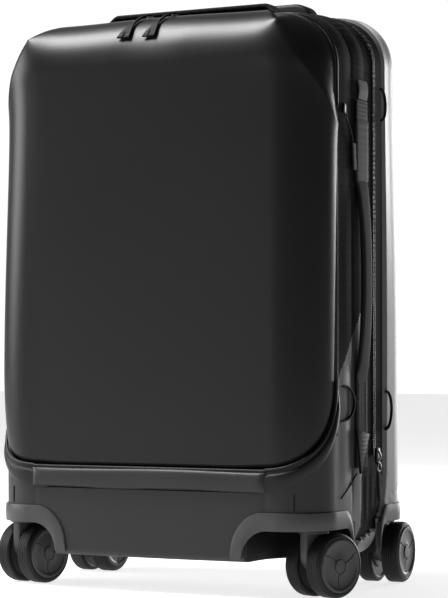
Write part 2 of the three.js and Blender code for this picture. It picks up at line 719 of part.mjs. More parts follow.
const skin = pocketSkin();
place('front_pocket_panel', skin.subtract(aboveZ(POCKET.hingeZ - GAP)), MATERIALS.panel);
place('pocket_flap', skin.intersect(aboveZ(POCKET.hingeZ + GAP)), MATERIALS.panel);
place('front_pocket_rim', pocketRim(), MATERIALS.trim);
place('pocket_sleeve', pocketSleeve(), MATERIALS.lining);
for (const [side, x] of Object.entries(POCKET_SLIDER_X)) {
  place(`pocket_slider_${side}`, pocketSlider(x), MATERIALS.zip);
  place(`pocket_pull_${side}`, pocketPull(x), MATERIALS.webbing);
}

place('bottom_grab_strip', grabStrip(), MATERIALS.panel);
place('top_grab_handle', topHandle(), MATERIALS.webbing);
place('side_grab_handle', sideHandle(), MATERIALS.webbing);
place('main_slider', mainSlider(), MATERIALS.zip);
place('main_pull', mainPull(), MATERIALS.webbing);
for (const [name, loop] of Object.entries(GEAR_LOOPS)) {
  place(name, gearLoop(loop), MATERIALS.webbing);
}

place('trolley_bezel', trolleyBezel(), MATERIALS.housing);
place('trolley_foot_bracket', trolleyFoot(), MATERIALS.housing);
place('trolley_grip', trolleyGrip(), MATERIALS.housing);
place('trolley_button', trolleyButton(), MATERIALS.caster);
for (const [side, sign] of [['left', -1], ['right', 1]]) {
  for (const stage of ['outer', 'middle', 'inner']) {
    place(`trolley_${stage}_tube_${side}`, trolleyTube(TROLLEY[stage], sign * TROLLEY.tubeX), MATERIALS.tube);
  }
}

for (const { end, side, signX, signY } of CORNERS) {
  const name = `${end}_${side}`;
  const { heading, trail } = HEADINGS[name];
  const caster = new THREE.Group();
  caster.position.set(signX * CASTER.pivotX, signY * CASTER.pivotY, 0);
  caster.rotation.z = THREE.MathUtils.degToRad(heading);
  suitcase.add(caster);
  place(`${name}_caster_stem`, casterStem(), MATERIALS.steel, caster);
  place(`${name}_caster_fork`, casterFork(trail), MATERIALS.caster, caster);
  place(`${name}_caster_axle`, casterAxle(trail), MATERIALS.steel, caster);
  place(`${name}_wheel_a`, casterWheel(trail, 1), MATERIALS.wheel, caster);
  place(`${name}_wheel_b`, casterWheel(trail, -1), MATERIALS.wheel, caster);
}

export default suitcase;
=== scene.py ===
"""A soft-sided carry-on case on four casters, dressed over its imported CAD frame.

Shapes are drawn in the case's own frame in millimetres: +X to the right side, -Y out of the padded
pocket, +Y out of the back, +Z up. CASE_AT moves them to the row's frame.
"""

import math

import bmesh
import bpy
import numpy as np
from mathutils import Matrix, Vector


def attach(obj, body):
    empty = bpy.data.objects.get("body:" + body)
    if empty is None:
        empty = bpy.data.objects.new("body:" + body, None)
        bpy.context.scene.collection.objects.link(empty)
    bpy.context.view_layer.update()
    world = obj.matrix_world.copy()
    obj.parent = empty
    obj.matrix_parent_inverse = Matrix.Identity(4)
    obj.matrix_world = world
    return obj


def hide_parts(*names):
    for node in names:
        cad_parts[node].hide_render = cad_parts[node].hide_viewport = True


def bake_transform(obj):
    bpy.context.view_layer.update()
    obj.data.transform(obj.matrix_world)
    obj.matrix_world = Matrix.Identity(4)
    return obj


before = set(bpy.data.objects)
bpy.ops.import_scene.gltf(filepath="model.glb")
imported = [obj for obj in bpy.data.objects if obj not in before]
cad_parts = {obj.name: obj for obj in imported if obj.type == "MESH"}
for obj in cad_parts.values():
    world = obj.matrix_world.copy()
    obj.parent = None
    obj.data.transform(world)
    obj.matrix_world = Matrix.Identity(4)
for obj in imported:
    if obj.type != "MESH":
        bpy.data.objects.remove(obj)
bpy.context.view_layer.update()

# ---------- Driving dimensions, in millimetres ----------

MM = 0.001
CASE_AT = np.array([-4.55, -2.7, 0.0])
FAR = 400.0

HALF_WIDTH = 167.5
BASE_Z = 31.0
TOP_Z, TOP_RISE = 530.0, 0.105
FRONT_Y, REAR_Y = -109.0, 109.0
TOP_CORNER, BASE_CORNER = 50.0, 24.0
FRONT_EDGE = {"side": 42.0, "top": 40.0, "base": 8.0}
REAR_EDGE = {"side": 40.0, "top": 20.0, "base": 15.0}
WALL = 4.8  # deep enough for the seams and folds pressed into it
GAP = 0.3
# the line where the halves part, as (y, z) from its foot up
SPLIT = [(-20, -FAR), (-20, 48), (8, 52), (21, 68), (24, 84), (24, 2 * FAR)]
SPLIT_Y = 24.0
FLOOR_TOP = 60.0
PLEAT = 0.3  # how deep the gusset's folds are below the main zipper
TOP_PUFF = 4.0  # how far the fabric stands up over the pocket's zipper, in the middle
LEAN = 4.5  # how far the rear shell's sides draw in towards its top

POCKET_BACK = -62.0
PANEL_CORNER = {"t": -5.0, "z": 193.0, "along_t": 71.0, "along_z": 78.0}
RIM_CORNER = {"t": -20.0, "z": 193.0, "along_t": 97.0, "along_z": 100.0}
RIM_TOP = 193.0

CASTER = {"x": 150.0, "y": 75.7, "radius": 28.6, "crown": 14.0}
# each caster's heading in degrees and how far its axle trails its swivel
HEADINGS = {
    "front_right": (70.5, 12.7),
    "rear_right": (92.8, 13.8),
    "front_left": (77.3, 10.7),
    "rear_left": (268.0, 12.0),
}
WELL_RADIUS, WELL_WALL = 49.0, 2.5
WELL_CEILING = 64.5
BOSS_RADIUS, BOSS_TOP = 13.0, 92.0

TUBE_X, TUBE_Y = 64.0, 88.0
# width, depth, wall, foot and top of each stage's tubes
TUBES = {
    "outer": (22.0, 15.0, 1.2, 46.3, 539.5),
    "middle": (19.0, 12.0, 1.1, 50.0, 540.0),
    "inner": (16.2, 9.2, 1.0, 54.0, 551.0),
}
BEZEL = {"half_x": 92.0, "half_y": 14.0, "round": 6.0, "y": 87.0, "low": 530.0, "top": 540.5}


# ---------- Meshes ----------

def new_piece(name, points, faces, materials, face_slots=None, sharp=35):
    """A mesh object from points in the case's frame, shaded smooth except over sharp edges."""
    data = bpy.data.meshes.new(name)
    placed = (np.asarray(points, float) + CASE_AT) * MM
    data.from_pydata(placed.tolist(), [], [tuple(int(i) for i in f) for f in faces])
    piece = bpy.data.objects.new(name, data)
    bpy.context.scene.collection.objects.link(piece)
    for material in materials if isinstance(materials, (list, tuple)) else [materials]:
        data.materials.append(material)
    if face_slots is not None:
        data.polygons.foreach_set("material_index", np.asarray(face_slots, dtype=np.int32))
    data.validate()
    face_out(data)
    smooth(data, sharp)
    return piece


def face_out(data):
    """Turns every face of a closed mesh outwards."""
    work = bmesh.new()
    work.from_mesh(data)
    bmesh.ops.remove_doubles(work, verts=work.verts, dist=1e-6)
    bmesh.ops.recalc_face_normals(work, faces=work.faces)
    work.to_mesh(data)
    work.free()


def smooth(data, sharp=35):
    data.polygons.foreach_set("use_smooth", np.ones(len(data.polygons), dtype=bool))
    data.set_sharp_from_angle(angle=math.radians(sharp))


def settle(piece, sharp=35):
    """Applies a piece's modifiers."""
    graph = bpy.context.evaluated_depsgraph_get()
    data = bpy.data.meshes.new_from_object(piece.evaluated_get(graph))
    piece.modifiers.clear()
    piece.data = data
    smooth(data, sharp)
    return piece


def carve(piece, cutters, operation="DIFFERENCE", sharp=35):
    """Cuts solids out of a piece, or keeps only what it shares with them, and deletes them."""
    for cutter in cutters:
        if not any(cutter.data.materials):
            cutter.data.materials.clear()
            cutter.data.materials.append(piece.data.materials[0])
        modifier = piece.modifiers.new("carve", "BOOLEAN")
        modifier.operation = operation
        modifier.solver = "MANIFOLD"
        modifier.object = cutter
        settle(piece, sharp)
        bpy.data.objects.remove(cutter)
    return piece


def bevel(piece, width, segments=2, angle=40):
    modifier = piece.modifiers.new("bevel", "BEVEL")
    modifier.width = width * MM
    modifier.segments = segments
    modifier.limit_method = "ANGLE"
    modifier.angle_limit = math.radians(angle)
    modifier.harden_normals = False
    return settle(piece, 50)


def loft_faces(rings, across, closed=True, start=0):
    """Quads between rings of the same number of points."""
    faces = []
    for r in range(rings - 1):
        for k in range(across if closed else across - 1):
            n = (k + 1) % across
            a, b = start + r * across, start + (r + 1) * across
            faces.append((a + k, a + n, b + n, b + k))
    return faces


def loft(name, rings, material, face_slots=None, sharp=35):
    """A closed solid through rings of points, with flat ends."""
    rings = [np.asarray(ring, float) for ring in rings]
    across = len(rings[0])
    faces = loft_faces(len(rings), across)
    last = (len(rings) - 1) * across
    faces += [tuple(range(across))[::-1], tuple(range(last, last + across))]
    slots = None if face_slots is None else list(face_slots) + [face_slots[0], face_slots[-1]]
    return new_piece(name, np.vstack(rings), faces, material, slots, sharp)


def prism(name, outline, axis, low, high, material):
    """A flat outline drawn in the other two axes, carried along an axis from low to high."""
    def ring(at):
        points = np.zeros((len(outline), 3))
        others = [k for k in range(3) if k != axis]
        points[:, others] = outline
        points[:, axis] = at
        return points
    return loft(name, [ring(low), ring(high)], material)


def declare(piece, slot, body, *nodes):
    """Hides the CAD nodes a piece stands for and attaches it to the body that it rides. The slot is not
    used.
    """
    if nodes:
        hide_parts(*nodes)
    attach(piece, body)


# ---------- Outlines and the body's form ----------

def arc(cx, cz, rx, rz, start, end, steps):
    angles = np.radians(np.linspace(start, end, steps + 1))
    return np.stack([cx + rx * np.cos(angles), cz + rz * np.sin(angles)], axis=1)


def rounded_rectangle(half_x, half_y, radius, cx=0.0, cy=0.0, steps=6):
    x, y = half_x - radius, half_y - radius
    corners = [(x, y, 0), (-x, y, 90), (-x, -y, 180), (x, -y, 270)]
    return np.vstack([arc(cx + a, cy + b, radius, radius, s, s + 90, steps) for a, b, s in corners])


def top_at(y):
    return TOP_Z + TOP_RISE * y


def turn_in(depth, radius):
    """How far a rounded edge has drawn in at a depth behind its face."""
    left = np.clip(radius - depth, 0, radius)
    return radius - math.sqrt(max(radius * radius - left * left, 0.0))


RUNS = {"side": 150, "top": 60, "base": 40, "top_corner": 24, "base_corner": 12}


def outline_ring(y, side, base, top, top_radius, base_radius):
    """The case's outline at a depth, seen from the front, always with the same number of points."""
    right, low, high = side, base, top
    run = lambda a, b, n: np.linspace(a, b, n, endpoint=False)
    tr, br = max(top_radius, 0.5), max(base_radius, 0.5)
    parts = [
        run((-(right - br), low), (right - br, low), RUNS["base"]),
        arc(right - br, low + br, br, br, -90, 0, RUNS["base_corner"])[:-1],
        run((right, low + br), (right, high - tr), RUNS["side"]),
        arc(right - tr, high - tr, tr, tr, 0, 90, RUNS["top_corner"])[:-1],
        run((right - tr, high), (-(right - tr), high), RUNS["top"]),
        arc(-(right - tr), high - tr, tr, tr, 90, 180, RUNS["top_corner"])[:-1],
        run((-right, high - tr), (-right, low + br), RUNS["side"]),
        arc(-(right - br), low + br, br, br, 180, 270, RUNS["base_corner"])[:-1],
    ]
    flat = np.vstack(parts)
    return np.stack([flat[:, 0], np.full(len(flat), float(y)), flat[:, 1]], axis=1)


def form_rings(face, depths, edge, inset=0.0):
    """Rings of half the case from its face inwards, at depths behind the face."""
    way = 1.0 if face < 0 else -1.0
    rings = []
    for depth in depths:
        y = face + way * depth
        side, top, base = (turn_in(depth - inset, edge[k]) for k in ("side", "top", "base"))
        rings.append(outline_ring(
            y, HALF_WIDTH - inset - side, BASE_Z + inset + base, top_at(y) - inset - top,
            TOP_CORNER - inset - min(side, top), BASE_CORNER - inset - min(side, base),
        ))
    return rings


def edge_depths(radius, inset=0.0, steps=12):
    return [inset + radius * (1 - math.cos(math.radians(90 * k / steps))) for k in range(steps + 1)]


FACE_SHARES = np.linspace(0.03, 0.985, 46)


def face_rings(ring, shares, crown):
    """Rings that fill a half's face, drawn in towards its middle and standing out by the crown."""
    middle = ring.mean(axis=0)
    rings = []
    for share in shares:
        made = middle + (ring - middle) * share
        made[:, 1] = ring[:, 1] + crown(made, share)
        rings.append(made)
    return rings


def half_form(name, face, end, edge, material, inset=0.0, dress=None, step=1.6, crown=None):
    """Half of the case as a closed solid; dress moves its points and crown fills its face."""
    depth = abs(end - face)
    bend = edge_depths(edge["side"] - inset, inset)
    flat = np.linspace(bend[-1], depth, max(2, int((depth - bend[-1]) / step)))[1:]
    rings = form_rings(face, bend + list(flat), edge, inset)
    if crown:
        rings = face_rings(rings[0], FACE_SHARES, crown) + rings
    if dress:
        rings = [dress(ring) for ring in rings]
    return loft(name, rings, material)


def split_side(name, grow):
    """Everything behind and below the line where the halves part."""
    line = [(y - grow, z + grow) for y, z in SPLIT] + [(FAR, 2 * FAR), (FAR, -FAR)]
    return prism(name, np.array(line), 0, -FAR, FAR, None)


def box(name, low, high):
    (x0, y0, z0), (x1, y1, z1) = low, high
    return prism(name, np.array([(x0, y0), (x1, y0), (x1, y1), (x0, y1)]), 2, z0, z1, None)


# ---------- Materials ----------

def shader(name, color, roughness, metallic=0.0, sheen=0.0, coat=0.0, specular=0.2):
    """A plain finish and its node tree, ready for a surface pattern."""
    material = bpy.data.materials.new(name)
    material.use_nodes = True
    node = material.node_tree.nodes["Principled BSDF"]
    node.inputs["Base Color"].default_value = (*color, 1.0)
    node.inputs["Roughness"].default_value = roughness
    node.inputs["Metallic"].default_value = metallic
    node.inputs["Sheen Weight"].default_value = sheen
    node.inputs["Coat Weight"].default_value = coat
    node.inputs["Specular IOR Level"].default_value = specular
    return material


def add_grain(material, scale, strength, distance, mottle=0.12, detail=4.0):
    """A fine bump and a faint, wide mottling of the colour."""
    tree = material.node_tree
    node = tree.nodes["Principled BSDF"]
    where = tree.nodes.new("ShaderNodeTexCoord")
    grain = tree.nodes.new("ShaderNodeTexNoise")
    grain.inputs["Scale"].default_value = scale
    grain.inputs["Detail"].default_value = detail
    bump = tree.nodes.new("ShaderNodeBump")
    bump.inputs["Strength"].default_value = strength
    bump.inputs["Distance"].default_value = distance
    wide = tree.nodes.new("ShaderNodeTexNoise")
    wide.inputs["Scale"].default_value = 14.0
    mix = tree.nodes.new("ShaderNodeMix")
    mix.data_type = "RGBA"
    base = list(node.inputs["Base Color"].default_value)[:3]
    mix.inputs["A"].default_value = (*[c * (1 - mottle) for c in base], 1.0)
    mix.inputs["B"].default_value = (*[c * (1 + mottle) for c in base], 1.0)
    link = tree.links.new
    link(where.outputs["Object"], grain.inputs["Vector"])
    link(where.outputs["Object"], wide.inputs["Vector"])
    link(grain.outputs["Fac"], bump.inputs["Height"])
    link(bump.outputs["Normal"], node.inputs["Normal"])
    link(wide.outputs["Fac"], mix.inputs["Factor"])
    link(mix.outputs["Result"], node.inputs["Base Color"])
    return material


def add_weave(material, pitch, strength, distance):
    """Crossed threads, as a bump from two sets of bands."""
    tree = material.node_tree
    node = tree.nodes["Principled BSDF"]
    where = tree.nodes.new("ShaderNodeTexCoord")
    add = tree.nodes.new("ShaderNodeMath")
    add.operation = "ADD"
    for k, direction in enumerate(("X", "Z")):
        bands = tree.nodes.new("ShaderNodeTexWave")
        bands.bands_direction = direction
        bands.inputs["Scale"].default_value = 1.0 / (pitch * MM * 20)
        bands.inputs["Distortion"].default_value = 0.4
        tree.links.new(where.outputs["Object"], bands.inputs["Vector"])
        tree.links.new(bands.outputs["Fac"], add.inputs[k])
    bump = tree.nodes.new("ShaderNodeBump")
    bump.inputs["Strength"].default_value = strength
    bump.inputs["Distance"].default_value = distance
    tree.links.new(add.outputs["Value"], bump.inputs["Height"])
    tree.links.new(bump.outputs["Normal"], node.inputs["Normal"])
    return material


def coated(name, color, roughness, sheen=0.0):
    return add_grain(shader(name, color, roughness, sheen=sheen), 900.0, 0.22, 0.0003)


def woven(name, color, roughness=0.8, pitch=0.9):
    return add_weave(shader(name, color, roughness, specular=0.12), pitch, 0.5, 0.0004)


def moulded(name, color, roughness):
    return add_grain(shader(name, color, roughness), 1600.0, 0.12, 0.0002, mottle=0.05)


def metal(name, color, roughness):
    return add_grain(shader(name, color, roughness, metallic=1.0), 700.0, 0.05, 0.0001, mottle=0.05)


PANEL = coated("panel_fabric", (0.0058, 0.0058, 0.0062), 0.38)
STRIP = coated("strip_fabric", (0.021, 0.021, 0.0222), 0.42)
SLEEVE = woven("sleeve_fabric", (0.011, 0.011, 0.012), 0.6, 1.0)
SHELL = coated("shell_fabric", (0.021, 0.021, 0.0222), 0.44)
# painted reflection: the rear shell's dark fabric is given a light grey that stands in for the backdrop's
# gleam on it
REAR_PAINTED_REFLECTION = coated("rear_fabric_painted_reflection", (0.095, 0.095, 0.099), 0.42, 0.3)
RIM = coated("rim_fabric", (0.0065, 0.0065, 0.007), 0.46)
BAND = woven("band_fabric", (0.005, 0.005, 0.0055))
CORD = woven("cord", (0.002, 0.002, 0.0022), 0.6, 0.6)
WEBBING = woven("webbing", (0.005, 0.005, 0.0055), 0.7, 1.4)
TAB = woven("tab_webbing", (0.12, 0.12, 0.125), 0.7, 1.2)
LINING = woven("lining", (0.045, 0.047, 0.051), 0.85, 0.7)
GUARD_PLASTIC = moulded("guard_plastic", (0.05, 0.05, 0.052), 0.42)
HOUSING = moulded("housing_plastic", (0.006, 0.006, 0.0065), 0.48)
# painted light: the caster plastic is made lighter to stand in for light on the fork legs, which sit in
# shade; the forks' crowns and the trolley button share it
CASTER_PLASTIC_PAINTED_LIGHT = moulded("caster_plastic_painted_light", (0.05, 0.05, 0.053), 0.36)
TREAD = moulded("tread", (0.007, 0.007, 0.0075), 0.5)
DISC = moulded("wheel_disc", (0.05, 0.05, 0.053), 0.3)
STEEL = metal("steel", (0.26, 0.26, 0.27), 0.34)
TUBE = metal("tube_metal", (0.07, 0.07, 0.075), 0.34)
ZIP = metal("zip_metal", (0.03, 0.03, 0.032), 0.36)


# ---------- How the fabric lies ----------

def bell(distance, width):
    return np.exp(-((distance / width) ** 2))


def ease(x, low, high):
    t = np.clip((x - low) / (high - low), 0, 1)
    return t * t * (3 - 2 * t)


def slack(points, amount):
    """Wide, shallow unevenness, as of cloth over foam."""
    x, y, z = points[:, 0], points[:, 1], points[:, 2]
    return amount * (
        np.sin(x / 41 + 1.3) * np.sin(z / 67 + 0.4) * 0.6
        + np.sin(y / 23 + z / 95 + 2.1) * 0.3
        + np.sin(z / 31 + x / 88) * 0.1
    )


def outward(ring):
    """Unit directions away from the middle of the case, in the plane of a ring; none on its faces."""
    ahead = np.roll(ring, -1, axis=0) - np.roll(ring, 1, axis=0)
    normal = np.stack([ahead[:, 2], np.zeros(len(ring)), -ahead[:, 0]], axis=1)
    normal /= np.maximum(np.linalg.norm(normal, axis=1, keepdims=True), 1e-9)
    reach = np.abs(ring[:, 0]).max()
    return normal * ease(reach, HALF_WIDTH - 45, HALF_WIDTH - 30)


SEAM_B, SEAM_C, SEAM_D = -29.0, 0.0, 48.0
# the bends of the two seams that bound the main zipper's band, from their feet up
SEAM_C_BENDS = {"z": (48, 61, 112, 137), "y": (-21, -8, -6, SEAM_C)}
SEAM_D_BENDS = {"z": (46, 57, 78, 110), "y": (-11, 27, 43, SEAM_D)}


def seam_c(z):
    """Seam C's depth: straight up the side, and curving forward under the zipper."""
    return np.interp(z, SEAM_C_BENDS["z"], SEAM_C_BENDS["y"])


def seam_d(z):
    """Seam D's depth: straight up the side, and sweeping forward round the zipper's foot."""
    return np.interp(z, SEAM_D_BENDS["z"], SEAM_D_BENDS["y"])


def pleats(z, behind):
    """The gusset's shallow folds below the main zipper, at a distance behind or before a seam."""
    height = ease(z, 50, 70) * (1 - ease(z, 95, 118))
    return PLEAT * height * ease(np.abs(behind), 2, 6) * np.sin(behind * 0.5)


PUFF, PUFF_HALF = 0.9, 105.0  # the swell between two seams, and half the width of the top's swell
GROOVE_WIDTH = 1.7
BAND_STEP = 2.6  # how far the zipper's band lies below the fabric beside it
SLACK = {"front": 0.5, "rear": 0.45}
PATCH = {"z": 78.0, "y": 43.0, "slope": 0.25, "depth": 0.9, "width": 1.4}


def swell(y, near, far):
    """A shallow swell between two seams."""
    return PUFF * np.sin(np.pi * np.clip((y - near) / (far - near), 0, 1)) ** 2


def dress_front(ring):
    y, z = ring[:, 1], ring[:, 2]
    past_c = y - seam_c(z)
    above_foot = ease(z, 60, 130)
    out = (swell(y, POCKET_BACK, SEAM_B) + swell(y, SEAM_B, SEAM_C)) * above_foot
    out += -1.3 * bell(y - SEAM_B, GROOVE_WIDTH) * above_foot
    out += -1.5 * bell(past_c, GROOVE_WIDTH) - BAND_STEP * ease(past_c, 0.5, 5.0)
    out += pleats(z, np.maximum(past_c, 0))
    out += slack(ring, SLACK["front"])
    out += TOP_PUFF * 0.8 * (z > 480) * bell(ring[:, 0], PUFF_HALF) * (1 - ease(y, -50, -18))
    return ring + outward(ring) * out[:, None]


def dress_rear(ring):
    y, z = ring[:, 1], ring[:, 2]
    past_d = y - seam_d(z)
    out = -BAND_STEP * (1 - ease(past_d, 0, 3.0)) - 1.2 * bell(past_d - 0.5, 1.5)
    out += pleats(z, np.minimum(past_d, 0))
    patch = PATCH["z"] + (y - PATCH["y"]) * PATCH["slope"]
    on_side = (y > PATCH["y"] + 1) * (np.abs(ring[:, 0]) > 150)
    out += -PATCH["depth"] * bell(z - patch, PATCH["width"]) * on_side
    out += slack(ring, SLACK["rear"])
    return lean_in(ring + outward(ring) * out[:, None])


def lean_in(ring):
    """Draws the rear shell's sides in a little towards its top."""
    made = ring.copy()
    made[:, 0] *= 1 - LEAN / HALF_WIDTH * ease(made[:, 2], 230, 500) * ease(made[:, 1], 40, 70)
    return made


# ---------- Cutters that both halves share ----------

CORNERS = [(end, side, 1 if side == "right" else -1, 1 if end == "rear" else -1)
           for end in ("front", "rear") for side in ("left", "right")]


def well_plan(radius, sign_x, sign_y):
    x, y = CASTER["x"], CASTER["y"]
    points = [(x - radius, y + FAR), (x - radius, y)]
    points += arc(x, y, radius, radius, 180, 270, 16).tolist()
    points += [(x + FAR, y - radius), (x + FAR, y + FAR)]
    return np.array(points) * (sign_x, sign_y)


def circle_at(x, y, radius, steps):
    return arc(x, y, radius, radius, 0, 360, steps)[:-1]


def corner_pockets(end):
    """Cutters for the wheel wells of one half and the bosses above them."""
    cutters = []
    for _, _, sign_x, sign_y in [c for c in CORNERS if c[0] == end]:
        plan = well_plan(WELL_RADIUS + WELL_WALL + GAP, sign_x, sign_y)
        cutters.append(prism("well", plan, 2, -FAR, WELL_CEILING + GAP, None))
        boss = circle_at(CASTER["x"] * sign_x, CASTER["y"] * sign_y, BOSS_RADIUS + GAP, 32)
        cutters.append(prism("boss", boss, 2, 0, BOSS_TOP + GAP, None))
    return cutters


def corner_curve(corner, grow=0.0, steps=24):
    """A pocket's lower corner as (t, z), from the vertical edge's bend to straight up the side."""
    rt, rz = corner["along_t"] + grow, corner["along_z"] + grow
    return arc(corner["t"], corner["z"], rt, rz, -90, 0, steps)


def plan_point(t, out, radius, face=-FRONT_Y):
    """A point on the rounded plan, t along from the start of the vertical edge's bend."""
    cx, cy = HALF_WIDTH - radius, face - radius
    bend = radius * math.pi / 2
    angle = min(max(t, 0.0), bend) / radius
    x = cx + (radius + out) * math.sin(angle) + min(t, 0.0)
    y = cy + (radius + out) * math.cos(angle) - max(t - bend, 0.0)
    return x, y


def above_corner(corner, grow=0.0):
    """Everything above a pocket's lower edge, seen from the front."""
    radius = FRONT_EDGE["side"]
    bend = radius * math.pi / 2
    curve = []
    for t, z in corner_curve(corner, grow):
        if t <= bend:
            curve.append((plan_point(t, 0, radius)[0], z))
    clear = HALF_WIDTH + 30
    half = curve + [(clear, curve[-1][1]), (clear, FAR * 2)]
    return np.array([(-x, z) for x, z in half][::-1] + half)


# ---------- The two halves ----------

FRONT_FACE = {"seam_x": 119.0, "seam_rise": 0.8, "seam_width": 1.3, "dish": 0.6}
REAR_FACE = {"tube_rise": 1.3, "tube_width": 15.0, "seam_at": 0.86, "seam_depth": 0.9, "seam_width": 0.006}
BAND_FOOT = BASE_Z + 8
GUSSET_SHADE_SLOPE = 1.2  # how steeply the gusset's painted shade, a darker fabric, starts from the rim's end backwards


def paint_band(piece, in_band):
    """Gives a half's zipper band, and any painted shade that in_band picks out, its dark fabric; the
    lining's slot is for what is cut later.
    """
    piece.data.materials.append(BAND)
    piece.data.materials.append(LINING)
    for face in piece.data.polygons:
        _, y, z = np.array(face.center) / MM - CASE_AT
        face.material_index = 1 if in_band(y, z) and z > BAND_FOOT else 0


def front_crown(points, share):
    off_seam = np.abs(points[:, 0]) - FRONT_FACE["seam_x"]
    upright = FRONT_FACE["seam_rise"] * bell(off_seam, FRONT_FACE["seam_width"])
    return upright - FRONT_FACE["dish"] * (1 - share ** 4)


def front_band_and_gusset_shade(y, z):
    """The fabric behind seam C, and the gusset beside the pocket above the rim, whose darker fabric is
    painted shade.
    """
    gusset = y > POCKET_BACK + 1 and z > RIM_TOP + GUSSET_SHADE_SLOPE * (y - POCKET_BACK)
    return y > float(seam_c(z)) + 1 or gusset


def front_body():
    shape = {"edge": FRONT_EDGE, "material": SHELL}
    made = half_form("front_body", FRONT_Y, SPLIT_Y - GAP, dress=dress_front, crown=front_crown, **shape)
    # the band's dark fabric also paints shade over the gusset above the rim
    paint_band(made, front_band_and_gusset_shade)
    hollow = half_form("hollow", FRONT_Y, SPLIT_Y + 10, FRONT_EDGE, LINING, inset=WALL, step=12)
    above_floor = box("top", (-FAR, -FAR, FLOOR_TOP), (FAR, FAR, 2 * FAR))
    hollow = carve(hollow, [
        prism("shelf", above_corner(RIM_CORNER, WALL), 1, -FAR, POCKET_BACK + GAP + WALL, LINING),
        carve(split_side("floor", GAP + WALL), [above_floor]),
    ])
    pocket = prism("pocket", above_corner(RIM_CORNER), 1, -FAR, POCKET_BACK + GAP, LINING)
    return carve(made, [split_side("rear", GAP), pocket, hollow, *corner_pockets("front")])


def rear_crown(points, share):
    x, z = np.abs(points[:, 0]), points[:, 2]
    tubes = REAR_FACE["tube_rise"] * bell(x - TUBE_X, REAR_FACE["tube_width"]) * ease(z, 60, 90)
    seam = REAR_FACE["seam_depth"] * bell(share - REAR_FACE["seam_at"], REAR_FACE["seam_width"])
    return tubes + 1.0 * (1 - share ** 6) - seam


def rear_body():
    # the rear shell's light grey is painted reflection
    shape = {"edge": REAR_EDGE, "material": REAR_PAINTED_REFLECTION}
    made = half_form("rear_body", REAR_Y, SPLIT[0][0] - 6, dress=dress_rear, crown=rear_crown, **shape)
    paint_band(made, lambda y, z: y < float(seam_d(z)))
    made = carve(made, [split_side("keep", -GAP)], "INTERSECT")
    hollow = {"inset": WALL, "dress": lean_in, "step": 12}
    below_floor = box("outside", (-FAR, -FAR, -FAR), (FAR, FAR, FLOOR_TOP))
    within = carve(
        half_form("hollow", REAR_Y, SPLIT[0][0] - 10, REAR_EDGE, LINING, **hollow),
        [carve(below_floor, [split_side("in", -GAP - WALL)])],
    )
    x, y, deep = BEZEL["half_x"] + GAP, BEZEL["y"], BEZEL["half_y"] + GAP
    bezel_slot = box("bezel_slot", (-x, y - deep, BEZEL["low"] - GAP), (x, y + deep, 2 * FAR))
    return carve(made, [within, bezel_slot, *corner_pockets("rear")])


def dress_halves():
    front = front_body()
    declare(front, "shell", "front_half", "front_shell", "front_zipper_tape")
    rear = rear_body()
    declare(rear, "shell", "rear_half", "rear_shell", "rear_zipper_tape")


# ---------- The padded pocket ----------

CORE_X = HALF_WIDTH - FRONT_EDGE["side"]
WRAP = 42.0
CORE_ROUND = 8.0
CORE_TOP = top_at(POCKET_BACK) - WRAP
PEAK = (128.0, 511.0)
SEAM_FOOT = (194.0, 424.0)
LEFT_LEAN = 7.0  # how much nearer the middle the left side stands at its top than at its foot


def wrap(flat, out):
    """Lays flat points (a, b) over the rounded front, out millimetres clear of its face."""
    a, b = flat[:, 0], flat[:, 1]
    side = np.sign(a)
    dx = np.maximum(np.abs(a) - (CORE_X - CORE_ROUND), 0)
    dz = np.maximum(b - (CORE_TOP - CORE_ROUND), 0)
    length = np.hypot(dx, dz)
    ex = np.where(length > 0, dx / np.maximum(length, 1e-9), 0.0)
    ez = np.where(length > 0, dz / np.maximum(length, 1e-9), 0.0)
    beyond = np.maximum(length - CORE_ROUND, 0)
    angle = np.minimum(beyond / WRAP, math.pi / 2)
    extra = np.maximum(beyond - WRAP * math.pi / 2, 0)
    kept = np.minimum(length, CORE_ROUND)
    radial = WRAP * np.sin(angle) + kept
    x = np.minimum(np.abs(a), CORE_X - CORE_ROUND) + ex * radial
    z = np.minimum(b, CORE_TOP - CORE_ROUND) + ez * radial
    y = FRONT_Y + WRAP * (1 - np.cos(angle)) + extra
    normal = np.stack([ex * np.sin(angle), -np.cos(angle), ez * np.sin(angle)], axis=1)
    points = np.stack([x, y, z], axis=1) + normal * out[:, None]
    points[:, 2] += TOP_RISE * (points[:, 1] - POCKET_BACK) * ease(points[:, 2], 330, 500)
    points[:, 0] *= side + (side == 0)
    return points


PANEL_MIDDLE = 300.0
PANEL_BACK = CORE_X + WRAP * math.pi / 2 + 9.0
PANEL_REACH = PANEL_BACK - (CORE_X - CORE_ROUND)


PANEL_FOOT, PANEL_FOOT_RISE = 113.6, 1.4
# how far round the side the panel's edge runs at some heights
PANEL_SIDE = {"z": (193, 300, 435), "t": (66.0, 70.0, PANEL_BACK - CORE_X)}


